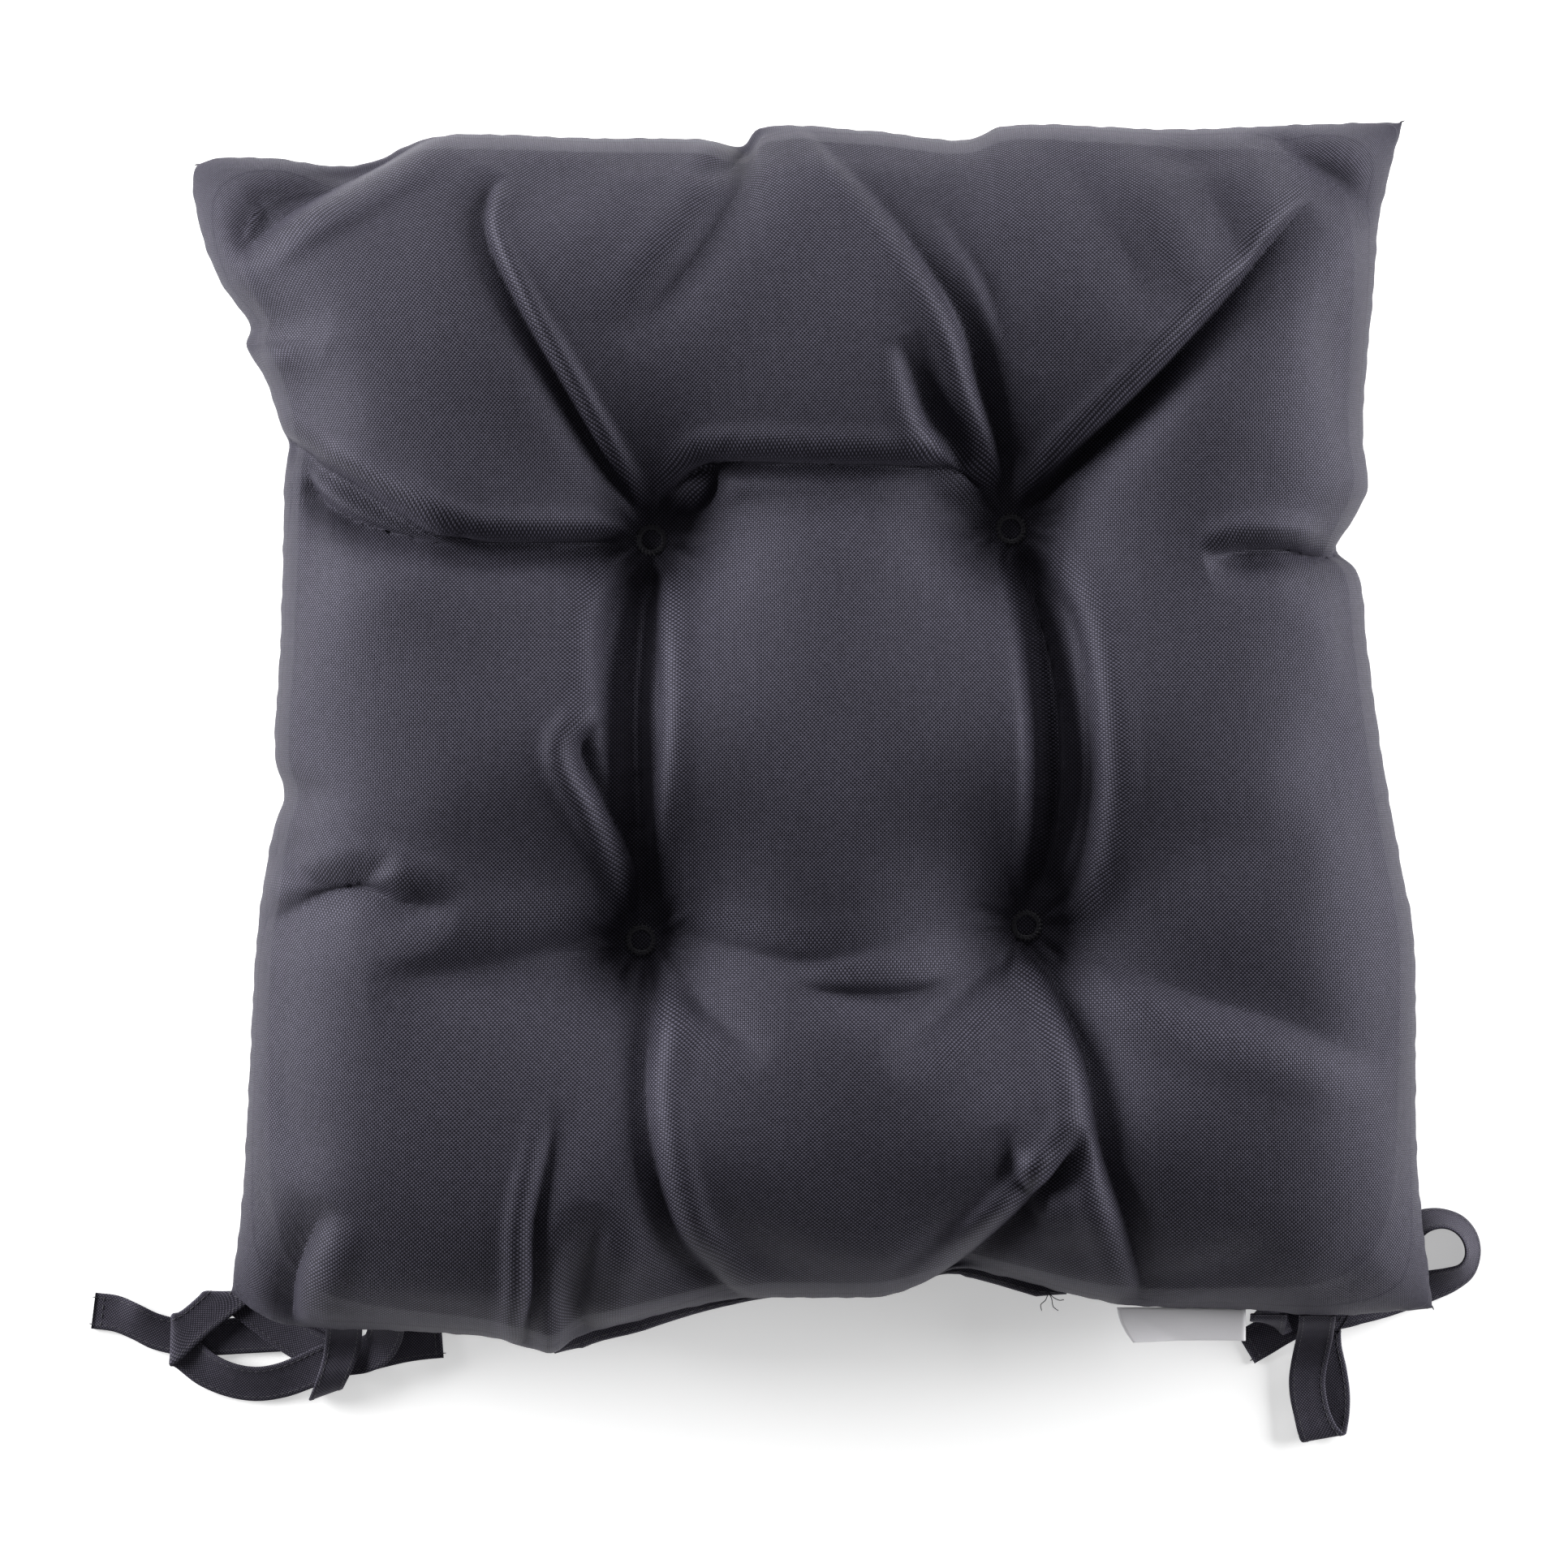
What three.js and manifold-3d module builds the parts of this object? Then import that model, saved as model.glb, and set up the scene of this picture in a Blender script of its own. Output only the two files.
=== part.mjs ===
// A tufted seat pad, as an assembly: two fabric covers sewn edge to edge round a fibre filling, four stitched
// tufts that draw the covers together, two pairs of ties knotted at the back corners, and a folded care label.
// Millimetres, +Z up. The pad lies on a surface at Z = 0, with its back edge at -Y.

import * as THREE from "three";
import { mergeVertices } from "three/addons/utils/BufferGeometryUtils.js";
import Module from "manifold-3d";

const wasm = await Module();
wasm.setup();

// ---- Driving dimensions -------------------------------------------------------------------------------

// The pad
const padWidth = 404; // corner to corner along X
const padDepth = 388; // corner to corner along Y
const padForward = 4; // how far the middle of the outline lies in front of the origin
const padHeight = 80; // at the top of the crown
const sidePull = 22; // how far the filling draws each side edge in between its corners
const endPull = 4; // the same for the front and back edges
const seamHeight = 24; // of the seam between the covers
const cornerDroop = 7; // how much lower the seam is at the corners
const topFullness = 0.5; // how steeply the top cover rises from the seam: smaller is steeper
const bottomFullness = 0.75; // the same for the bottom cover

// Fabric, thread and clearances
const clothThickness = 0.8;
const threadDiameter = 0.8;
const clearance = 0.3; // between pieces that touch on the real pad
const seamInset = 0.9; // of the seam's thread from the covers' edge
const fillingInset = 7; // of the filling from the covers' edge

// The tufts
const tuftSpacingX = 120;
const tuftSpacingY = 129;
const tuftMiddleX = 7.5; // the tufts were sewn a little to the right of the middle
const tuftMiddleY = 1;
const tuftRingDiameter = 8.8; // across the middle of the ring of stitches
const tuftThread = 1.1; // thickness of the stitched ring
const tuftStitches = 4; // passes of thread through the pad in each ring
const tuftHeight = 36; // of the covers where they meet at the tufts
const tuftFlat = 8; // how far round each tuft the covers lie flat together
const tuftSpread = 30; // how far each dimple reaches beyond that

// The opening that the filling went in by, closed with a stitched hem in the back edge
const closingLeft = -84;
const closingRight = 88;
const hemDepth = 4;
const hemStitchInset = 1.6; // of its stitch from the hem's outer edge

// The ties, sewn into the back edge in pairs
const tieWidth = 12;
const tieThickness = 1.2;
const tieSteps = 2; // faces along a tie between one point of its route and the next
const leftTieRoots = [-152, -138]; // X of the middle of each
const rightTieRoots = [150, 166];

// The care label: one strip folded in two
const labelWidth = 42;
const labelReach = 11.5; // out of the seam
const labelMiddle = 121.5; // X of its middle
const labelSheet = 0.35;
const labelGape = 1.1; // between its two leaves at the fold
const labelStandoff = 0.7; // of its hinge line from the covers' edge

// ---- Colours ------------------------------------------------------------------------------------------

function fabric(color, roughness = 0.8) {
  return new THREE.MeshStandardMaterial({ color, roughness, metalness: 0 });
}
const slateCloth = fabric(0x47454f, 0.75);
const undersideCloth = fabric(0x3c3a43, 0.85);
const fibre = fabric(0xf0efe9, 0.95);
const slateThread = fabric(0x25242b, 0.7);
const tieCloth = fabric(0x2f2e36, 0.8);
const labelSatin = fabric(0xd8d6da, 0.5);

// ---- Solids -------------------------------------------------------------------------------------------

// A closed geometry as a manifold solid.
function solidOf(geometry) {
  const bare = geometry.index ? geometry.toNonIndexed() : geometry.clone();
  bare.deleteAttribute("normal");
  bare.deleteAttribute("uv");
  const merged = mergeVertices(bare, 1e-4);
  return new wasm.Manifold(
    new wasm.Mesh({
      numProp: 3,
      vertProperties: merged.attributes.position.array,
      triVerts: new Uint32Array(merged.index.array),
    }),
  );
}

// A manifold solid as a geometry.
function geometryOf(solid) {
  const mesh = solid.getMesh();
  const points = new Float32Array(mesh.numVert * 3);
  for (let i = 0; i < mesh.numVert; i++) {
    points.set(mesh.vertProperties.subarray(i * mesh.numProp, i * mesh.numProp + 3), i * 3);
  }
  const geometry = new THREE.BufferGeometry();
  geometry.setAttribute("position", new THREE.BufferAttribute(points, 3));
  geometry.setIndex(new THREE.BufferAttribute(mesh.triVerts, 1));
  geometry.computeVertexNormals();
  return geometry;
}

const pad = new THREE.Group();

function add(name, geometry, material) {
  const mesh = new THREE.Mesh(geometry, material);
  mesh.name = name;
  pad.add(mesh);
}

// ---- The shape of the stuffed pad ---------------------------------------------------------------------

const [tuftLeft, tuftRight] = [tuftMiddleX - tuftSpacingX / 2, tuftMiddleX + tuftSpacingX / 2];
const [tuftBack, tuftFront] = [tuftMiddleY - tuftSpacingY / 2, tuftMiddleY + tuftSpacingY / 2];
const tufts = [
  { name: "front_left", x: tuftLeft, y: tuftFront },
  { name: "front_right", x: tuftRight, y: tuftFront },
  { name: "back_left", x: tuftLeft, y: tuftBack },
  { name: "back_right", x: tuftRight, y: tuftBack },
];

// The place in plan of a point of the cloth, whose own coordinates u and v run from -1 to 1 between the edges.
function place(u, v) {
  const x = u * (padWidth / 2 - sidePull * (1 - v * v));
  const y = padForward + v * (padDepth / 2 - endPull * (1 - u * u));
  return [x, y];
}

// Height of the seam's middle plane, which falls towards the corners.
function seamLevel(u, v) {
  return seamHeight - cornerDroop * Math.abs(u * v) ** 4;
}

// Height of the surface in which the covers meet: the seam's own at the edges, and higher towards the tufts.
function meetingLevel(u, v) {
  return seamLevel(u, v) + (tuftHeight - seamHeight) * (1 - u ** 4) * (1 - v ** 4);
}

// How much of the full bulge there is: none at the edges and the tufts, all of it between them.
function bulge(u, v, fullness) {
  const edge = Math.max(0, (1 - u ** 4) * (1 - v ** 4)) ** fullness;
  const [x, y] = place(u, v);
  const near = Math.min(...tufts.map((t) => Math.hypot(x - t.x, y - t.y)));
  const beyond = Math.max(0, near - Math.SQRT2 * tuftFlat - 0.2);
  return edge * (1 - Math.exp(-((beyond / tuftSpread) ** 1.5)));
}

const seamGap = threadDiameter + 2 * clearance; // between the covers, where the thread lies
const crown = padHeight - clothThickness; // height of the inside of the top cover where it is fullest
const topInside = (u, v) => {
  const least = meetingLevel(u, v) + seamGap / 2;
  return least + (crown - least) * bulge(u, v, topFullness);
};
const topOutside = (u, v) => topInside(u, v) + clothThickness;
const bottomInside = (u, v) => {
  const most = meetingLevel(u, v) - seamGap / 2;
  const free = most - (crown - seamHeight) * bulge(u, v, bottomFullness);
  return Math.max(clothThickness, free); // pressed flat where it meets the surface
};
const bottomOutside = (u, v) => bottomInside(u, v) - clothThickness;

// Lines of the cloth's grid on one side of its middle, as shares of half its size. Two of them bound the flat round
// a tuft. They crowd towards the edge, where the cloth is steepest, and the last but one is where the filling ends.
function gridLines(halfSize, tuftAt) {
  const at = tuftAt / halfSize;
  const flat = tuftFlat / halfSize;
  const [beyond, filled] = [at + flat, 1 - fillingInset / halfSize];
  const outer = [0.32, 0.62, 0.86, 1].map((share) => beyond + share * (filled - beyond));
  return [0.35 * at, 0.7 * at, at - flat, beyond, ...outer, 1];
}

function bothSides(negative, positive) {
  return [...negative.map((line) => -line).reverse(), 0, ...positive];
}

// Half the size of the cloth between the middles of its edges.
const halfWidth = padWidth / 2 - sidePull;
const halfDepth = padDepth / 2 - endPull;
const linesU = bothSides(gridLines(halfWidth, -tuftLeft), gridLines(halfWidth, tuftRight));
const linesV = bothSides(
  gridLines(halfDepth, padForward - tuftBack),
  gridLines(halfDepth, tuftFront - padForward),
);

// A closed solid between two height fields over a grid of the cloth.
function quilt(upper, lower, acrossLines, alongLines) {
  const across = acrossLines.length;
  const points = [];
  for (const height of [upper, lower]) {
    for (const v of alongLines) {
      for (const u of acrossLines) points.push(...place(u, v), height(u, v));
    }
  }
  const layer = across * alongLines.length;
  const faces = [];
  for (let j = 0; j + 1 < alongLines.length; j++) {
    for (let i = 0; i + 1 < across; i++) {
      const a = j * across + i;
      const [b, c, d] = [a + 1, a + across + 1, a + across];
      faces.push(a, b, c, a, c, d);
      faces.push(layer + a, layer + c, layer + b, layer + a, layer + d, layer + c);
    }
  }
  const rim = [];
  for (let i = 0; i + 1 < across; i++) rim.push(i);
  for (let j = 0; j + 1 < alongLines.length; j++) rim.push(j * across + across - 1);
  for (let i = across - 1; i > 0; i--) rim.push((alongLines.length - 1) * across + i);
  for (let j = alongLines.length - 1; j > 0; j--) rim.push(j * across);
  rim.forEach((a, k) => {
    const b = rim[(k + 1) % rim.length];
    faces.push(a, layer + a, layer + b, a, layer + b, b);
  });
  const geometry = new THREE.BufferGeometry();
  geometry.setAttribute("position", new THREE.Float32BufferAttribute(points, 3));
  geometry.setIndex(faces);
  return solidOf(geometry);
}

// A short upright rod.
function rod(x, y, radius, low, high, sides) {
  const cylinder = new THREE.CylinderGeometry(radius, radius, high - low, sides);
  cylinder.rotateX(Math.PI / 2);
  cylinder.translate(x, y, (low + high) / 2);
  return solidOf(cylinder);
}

// The places where a tuft's thread goes through the pad.
function stitchPlaces(tuft) {
  const places = [];
  for (let i = 0; i < tuftStitches; i++) {
    const angle = (2 * Math.PI * (i + 0.5)) / tuftStitches;
    places.push([
      tuft.x + (tuftRingDiameter / 2) * Math.cos(angle),
      tuft.y + (tuftRingDiameter / 2) * Math.sin(angle),
    ]);
  }
  return places;
}

// A cover or the filling, pierced for the tufts' thread.
function pierced(solid) {
  const holeRadius = threadDiameter / 2 + clearance;
  let made = solid;
  for (const tuft of tufts) {
    for (const [x, y] of stitchPlaces(tuft)) {
      made = made.subtract(rod(x, y, holeRadius, 0, padHeight, 6));
    }
  }
  return made;
}

// ---- Covers, with the hem that closes the back edge ----------------------------------------------------

// Y of the covers' edge at the back, and height of the seam there.
const backEdge = (x) => place((2 * x) / padWidth, -1)[1];
const backSeam = (x) => seamLevel((2 * x) / padWidth, 1);

// A flat plate with its corners at two X and two Y values.
function plate(x0, x1, y0, y1, low, thickness) {
  const box = new THREE.BoxGeometry(x1 - x0, y1 - y0, thickness);
  box.translate((x0 + x1) / 2, (y0 + y1) / 2, low + thickness / 2);
  return box;
}

// One layer of the hem: a strip that starts inside the cover's own edge and stands out past it.
function hem(low) {
  const ends = [closingLeft, closingRight].map(backEdge);
  const overlap = 0.8;
  const outer = Math.min(...ends) - hemDepth;
  return solidOf(plate(closingLeft, closingRight, outer, Math.max(...ends) + overlap, low, clothThickness));
}

function makeCovers() {
  const edgeLevel = Math.min(backSeam(closingLeft), backSeam(closingRight));
  const top = quilt(topOutside, topInside, linesU, linesV);
  const bottom = quilt(bottomInside, bottomOutside, linesU, linesV);
  const upperHem = hem(edgeLevel + seamGap / 2);
  const lowerHem = hem(edgeLevel - seamGap / 2 - clothThickness);
  add("top_cover", geometryOf(pierced(top.add(upperHem))), slateCloth);
  add("bottom_cover", geometryOf(pierced(bottom.add(lowerHem))), undersideCloth);
}

// ---- Filling -------------------------------------------------------------------------------------------

// The filling stops at the last line of the grid before the seam.
function makeFilling() {
  const upper = (u, v) => topInside(u, v) - clearance;
  const lower = (u, v) => bottomInside(u, v) + clearance;
  const filling = quilt(upper, lower, linesU.slice(1, -1), linesV.slice(1, -1));
  add("fibre_filling", geometryOf(pierced(filling)), fibre);
}

// ---- Thread --------------------------------------------------------------------------------------------

// A thread along a list of points, with six sides and closed ends.
function thread(points, stepsPerPoint) {
  const section = new THREE.Shape();
  for (let i = 0; i < 6; i++) {
    const angle = (2 * Math.PI * i) / 6;
    const [x, y] = [(threadDiameter / 2) * Math.cos(angle), (threadDiameter / 2) * Math.sin(angle)];
    if (i === 0) section.moveTo(x, y);
    else section.lineTo(x, y);
  }
  section.closePath();
  return new THREE.ExtrudeGeometry(section, {
    steps: (points.length - 1) * stepsPerPoint,
    extrudePath: new THREE.CatmullRomCurve3(points, false, "centripetal"),
    bevelEnabled: false,
  });
}

// The seam runs round the pad from one end of the closing hem to the other, through the lines of the covers' grid.
function makeSeamThread() {
  const [insetU, insetV] = [1 - seamInset / halfWidth, 1 - seamInset / halfDepth];
  const cornerShare = 0.985; // where each side's run stops short of the corner
  const points = [];
  const at = (u, v) => points.push(new THREE.Vector3(...place(u * insetU, v * insetV), seamLevel(u, v)));
  const between = (lines, from, to) => [from, ...lines.filter((line) => line > from && line < to), to];
  const hemClear = threadDiameter + clearance;
  const hemRight = (2 * (closingRight + hemClear)) / padWidth;
  const hemLeft = (2 * (closingLeft - hemClear)) / padWidth;
  const whole = (lines) => between(lines, -cornerShare, cornerShare);
  between(linesU, hemRight, cornerShare).forEach((u) => at(u, -1));
  whole(linesV).forEach((v) => at(1, v));
  whole(linesU).reverse().forEach((u) => at(u, 1));
  whole(linesV).reverse().forEach((v) => at(-1, v));
  between(linesU, -cornerShare, hemLeft).forEach((u) => at(u, -1));
  add("seam_thread", thread(points, 1), slateThread);
}

function makeClosingStitch() {
  const inset = 2; // from each end of the hem
  const y = Math.min(backEdge(closingLeft), backEdge(closingRight)) - hemDepth + hemStitchInset;
  const level = Math.min(backSeam(closingLeft), backSeam(closingRight));
  const ends = [closingLeft + inset, closingRight - inset].map((x) => new THREE.Vector3(x, y, level));
  add("closing_stitch", thread(ends, 2), slateThread);
}

// Each tuft: a ring of stitches on each face of the pad, joined by the thread that goes through it.
function makeTufts() {
  const ringOffset = seamGap / 2 + clothThickness + clearance + tuftThread / 2; // from where the covers meet
  for (const tuft of tufts) {
    const level = meetingLevel(tuft.x / halfWidth, (tuft.y - padForward) / halfDepth);
    const [low, high] = [level - ringOffset, level + ringOffset];
    const ring = (z) => {
      const torus = new THREE.TorusGeometry(tuftRingDiameter / 2, tuftThread / 2, 6, 16);
      torus.translate(tuft.x, tuft.y, z);
      return solidOf(torus);
    };
    let made = ring(high).add(ring(low));
    for (const [x, y] of stitchPlaces(tuft)) made = made.add(rod(x, y, threadDiameter / 2, low, high, 5));
    add(`tuft_thread_${tuft.name}`, geometryOf(made), slateThread);
  }
}

// ---- Ties ----------------------------------------------------------------------------------------------

// Each point of a tie's route is [x, y, z, heading, lean, reach]: the strap's middle, the direction in plan from its
// one edge to the other in degrees, how far that line is tipped up out of the level, and half its length, which is
// more than half the strap's width where the strap is folded over askew. A tie starts at its sewn end.

// The left pair: this one forms the loop, from the knot round to the left and back, and ends to the right.
const leftLoopTie = [
  [-138, -188.3, 22.5, 0, 0],
  [-138, -190, 21.4, 0, 0],
  [-138.3, -192.8, 16.8, -6, 0],
  [-139.4, -197, 12, -18, 4],
  [-142, -200.8, 8.6, -48, 6],
  [-146.4, -203, 6.5, -74, 2],
  [-152, -203.9, 5.9, -84, 0],
  [-158.5, -205.4, 5.5, -72, 0],
  [-165.5, -208.6, 4.3, -66, -8],
  [-173.5, -211.6, 3.2, -76, -14],
  [-182, -212.8, 2.8, -90, -16],
  [-190.5, -211.4, 2.8, -104, -16],
  [-198.2, -208, 2.6, -122, -12],
  [-204.4, -203.2, 2.5, -138, -4],
  [-208.4, -199.2, 2.9, -100, 0, 8],
  [-209.6, -198.4, 3.7, -92, 0, 8.4],
  [-208.2, -197.4, 4.5, -84, 0, 8],
  [-203, -193.4, 4.3, -46, 0],
  [-196.6, -188.2, 4.3, -44, 0],
  [-191.4, -184, 4.2, -12, 0, 8],
  [-190.2, -182.6, 3.3, 0, 0, 8.6],
  [-188.6, -184, 2.5, 10, 0, 8],
  [-182, -188.6, 2.5, 48, 0],
  [-175, -193.8, 2.6, 54, 0],
  [-168, -198.6, 2.9, 56, 0],
  [-161, -202, 3.7, 68, 0],
  [-154, -203.6, 4.2, 80, 0],
  [-147, -203, 4.2, 94, 0],
  [-140, -201.3, 3.2, 98, 0],
  [-133, -199.8, 1.9, 96, 0],
  [-126.5, -198.9, 1.1, 94, 0],
  [-120.6, -198.4, 0.9, 94, 0],
];

// This one goes over the knot and back under it, and ends out to the left, beneath the loop.
const leftWrapTie = [
  [-152, -188.7, 21.8, 0, 0],
  [-152, -190.5, 20.6, 0, 0],
  [-152.2, -193.8, 15.2, 0, 0],
  [-152.8, -198.4, 10, 2, 0],
  [-153.8, -203.6, 8.5, 8, 0],
  [-155.6, -208.8, 8.7, 12, 0],
  [-157.8, -213.9, 6.7, 18, 0],
  [-158.8, -215.9, 3.7, 20, 0],
  [-157.4, -212.6, 1.3, 18, 0],
  [-155.4, -208, 0.9, 12, 0],
  [-153.4, -202.6, 0.9, 2, 0],
  [-151.4, -198, 0.9, -36, 0, 8],
  [-150.6, -197, 1.7, -45, 0, 8.4],
  [-151.6, -196.6, 2.5, -54, 0, 8],
  [-157, -196, 2.3, -86, 0],
  [-165, -195.8, 1.3, -90, 0],
  [-175, -196.4, 0.9, -91, 0],
  [-186, -197, 0.9, -91, 0],
  [-197, -197.6, 0.9, -90, 0],
  [-206, -197.6, 0.9, -92, 0],
  [-215, -195.6, 1.5, -102, -6],
  [-221.5, -192.4, 2, -104, -11],
  [-228, -189.8, 1, -98, 0],
  [-235.5, -188.8, 0.9, -97, 0],
];

// The right pair: this one forms the loop that goes under the pad's corner, and ends to the left.
const rightSideTie = [
  [150, -188.6, 21.9, 0, 0],
  [150, -190.4, 20.6, 0, 0],
  [150.2, -191.9, 15, -14, 0],
  [151.6, -192, 8.8, -44, 0],
  [155, -190.6, 4.4, -74, 0],
  [161, -189.2, 2.6, -86, 0],
  [168, -188.6, 2.6, -89, 0],
  [176, -188.6, 2.6, -90, 0],
  [184.4, -185, 1.4, -64, 0],
  [189.2, -176, 1.4, -46, 6],
  [193, -168.4, 3, -46, 20],
  [197.4, -162.2, 4.8, -58, 40],
  [203, -158.8, 6, -80, 56],
  [208.6, -158.3, 6.2, -96, 62],
  [213.8, -160.4, 6.2, -124, 62],
  [217.2, -164.8, 6.2, -152, 62],
  [218, -170.2, 6.2, -182, 62],
  [216, -175.2, 5.8, -222, 56],
  [211.2, -178.8, 5, -242, 44],
  [205.2, -181.6, 3.8, -248, 28],
  [198, -184.4, 2.7, -254, 12],
  [190.6, -186.8, 2.9, -259, 2],
  [183.4, -188.2, 3.8, -263, 0],
  [176, -188.9, 4.3, -266, 0],
  [168.6, -189.3, 4.3, -264, 0],
  [161.4, -190.9, 3.9, -253, 0],
  [155, -194.2, 2.6, -243, 0],
  [149.4, -197.7, 1.3, -240, 0],
  [143.6, -201.1, 0.9, -239, 0],
];

// This one forms the loop that hangs down behind the pad, then goes under and round the knot to a short end.
const rightHangingTie = [
  [166, -189.1, 20.8, 0, 0],
  [166, -191, 19.5, 0, 0],
  [166, -194.2, 14, 0, 0],
  [165.8, -197.6, 8.6, -2, 0],
  [165.2, -201.6, 5.4, -4, 0],
  [164.4, -206.4, 3.6, -4, 0],
  [163.8, -211.6, 3.2, 0, 0],
  [164.2, -217, 3.2, 6, 0],
  [165.4, -222.6, 3.5, 10, 0],
  [167.2, -227.8, 4, 10, 0, 6.6],
  [169.2, -230.4, 2.8, 10, 0, 7.4],
  [170.6, -228, 1.4, 10, 2, 6.8],
  [172, -222.6, 1.4, 8, 5],
  [172, -216, 1.4, 4, 5],
  [171, -208.6, 1.3, 8, 4],
  [169.4, -201, 0.9, 8, 0],
  [169.2, -194, 0.9, 0, 0],
  [170.2, -187, 0.9, -6, 0],
  [171, -180.8, 1.2, -8, 0],
  [171.4, -178.4, 4, -8, 0],
  [171.6, -180.8, 6.7, -4, 0],
  [172.2, -185, 6.5, 16, 0],
  [173.8, -188.4, 6.2, 42, 0],
  [176.5, -191.1, 5.9, 60, 0],
];

// A flat strap through its points, as a closed solid: two edge curves, and half the strap's thickness to each side
// of the surface between them.
function strap(route) {
  const edgeCurve = (side) => {
    const points = route.map(([x, y, z, heading, lean, reach = tieWidth / 2]) => {
      const [h, l] = [THREE.MathUtils.degToRad(heading), THREE.MathUtils.degToRad(lean)];
      const across = new THREE.Vector3(Math.cos(h) * Math.cos(l), Math.sin(h) * Math.cos(l), Math.sin(l));
      return new THREE.Vector3(x, y, z).addScaledVector(across, side * reach);
    });
    return new THREE.CatmullRomCurve3(points, false, "centripetal");
  };
  const [nearEdge, farEdge] = [edgeCurve(-1), edgeCurve(1)];
  const steps = (route.length - 1) * tieSteps;
  const middleAt = (t) => nearEdge.getPoint(t).add(farEdge.getPoint(t)).multiplyScalar(0.5);
  const points = [];
  for (let i = 0; i <= steps; i++) {
    const t = i / steps;
    const along = middleAt(Math.min(1, t + 0.5 / steps)).sub(middleAt(Math.max(0, t - 0.5 / steps)));
    const across = farEdge.getPoint(t).sub(nearEdge.getPoint(t));
    const normal = along.cross(across).normalize().multiplyScalar(tieThickness / 2);
    for (const [edge, side] of [[nearEdge, 1], [farEdge, 1], [farEdge, -1], [nearEdge, -1]]) {
      const point = edge.getPoint(t).addScaledVector(normal, side);
      points.push(point.x, point.y, point.z);
    }
  }
  const faces = [0, 1, 2, 0, 2, 3];
  for (let i = 0; i < steps; i++) {
    for (let k = 0; k < 4; k++) {
      const [a, b] = [4 * i + k, 4 * i + ((k + 1) % 4)];
      faces.push(a, b + 4, b, a, a + 4, b + 4);
    }
  }
  const last = 4 * steps;
  faces.push(last, last + 2, last + 1, last, last + 3, last + 2);
  const geometry = new THREE.BufferGeometry();
  geometry.setAttribute("position", new THREE.Float32BufferAttribute(points, 3));
  geometry.setIndex(faces);
  geometry.computeVertexNormals();
  return geometry;
}

// What is caught in the seam of a pair of ties or a label: a flat tail between the seam's thread and the filling.
function tail(x0, x1, thickness) {
  const edges = [backEdge(x0), backEdge(x1)];
  const outer = Math.max(...edges) + seamInset + threadDiameter / 2 + clearance;
  const inner = Math.min(...edges) + fillingInset - 2 * clearance;
  return plate(x0, x1, outer, inner, backSeam((x0 + x1) / 2) - thickness / 2, thickness);
}

function makeTies() {
  add("tie_left_loop", strap(leftLoopTie), tieCloth);
  add("tie_left_wrap", strap(leftWrapTie), tieCloth);
  add("tie_right_side_loop", strap(rightSideTie), tieCloth);
  add("tie_right_hanging_loop", strap(rightHangingTie), tieCloth);
  const pairs = { tie_tail_left: leftTieRoots, tie_tail_right: rightTieRoots };
  for (const [name, [first, second]] of Object.entries(pairs)) {
    add(name, tail(first - tieWidth / 2, second + tieWidth / 2, threadDiameter), tieCloth);
  }
}

// ---- Care label ----------------------------------------------------------------------------------------

// One strip, folded at its outer edge: its two leaves meet in the seam and gape a little at the fold.
function makeLabel() {
  const y0 = Math.min(...[-1, 1].map((side) => backEdge(labelMiddle + (side * labelWidth) / 2))) - labelStandoff;
  const level = backSeam(labelMiddle);
  const half = labelGape / 2 + labelSheet;
  const fold = labelReach - half; // where the round of the fold starts
  const outline = new THREE.Shape();
  outline.moveTo(0, labelSheet);
  outline.lineTo(fold, half);
  outline.absarc(fold, 0, half, Math.PI / 2, -Math.PI / 2, true);
  outline.lineTo(0, -labelSheet);
  outline.lineTo(0, -0.01);
  outline.lineTo(fold, -half + labelSheet);
  outline.absarc(fold, 0, half - labelSheet, -Math.PI / 2, Math.PI / 2, false);
  outline.lineTo(0, 0.01);
  outline.closePath();
  const strip = new THREE.ExtrudeGeometry(outline, { depth: labelWidth, bevelEnabled: false, curveSegments: 4 });
  strip.rotateX(Math.PI / 2); // the outline's second axis becomes height
  strip.rotateZ(-Math.PI / 2); // and its first points out of the back of the pad
  strip.translate(labelMiddle + labelWidth / 2, y0, level);
  strip.computeBoundingBox();
  strip.translate(labelMiddle - (strip.boundingBox.min.x + strip.boundingBox.max.x) / 2, 0, 0);
  add("care_label", strip, labelSatin);
  add("label_tail", tail(labelMiddle - labelWidth / 2, labelMiddle + labelWidth / 2, 2 * labelSheet), labelSatin);
}

makeCovers();
makeFilling();
makeSeamThread();
makeClosingStitch();
makeTufts();
makeTies();
makeLabel();

export default pad;
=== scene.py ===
# %% [markdown]
# # A tufted seat pad with ties
# The pad on the real object is a bag of two woven covers, stuffed with fibre and drawn together by four
# stitched tufts. Knotted ties and a folded care label hang from its back seam. This lesson builds each of
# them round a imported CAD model, which fixes where everything is. All lengths are in metres, the pad lies on Z
# = 0, and its back is at -Y.

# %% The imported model
import math

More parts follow.
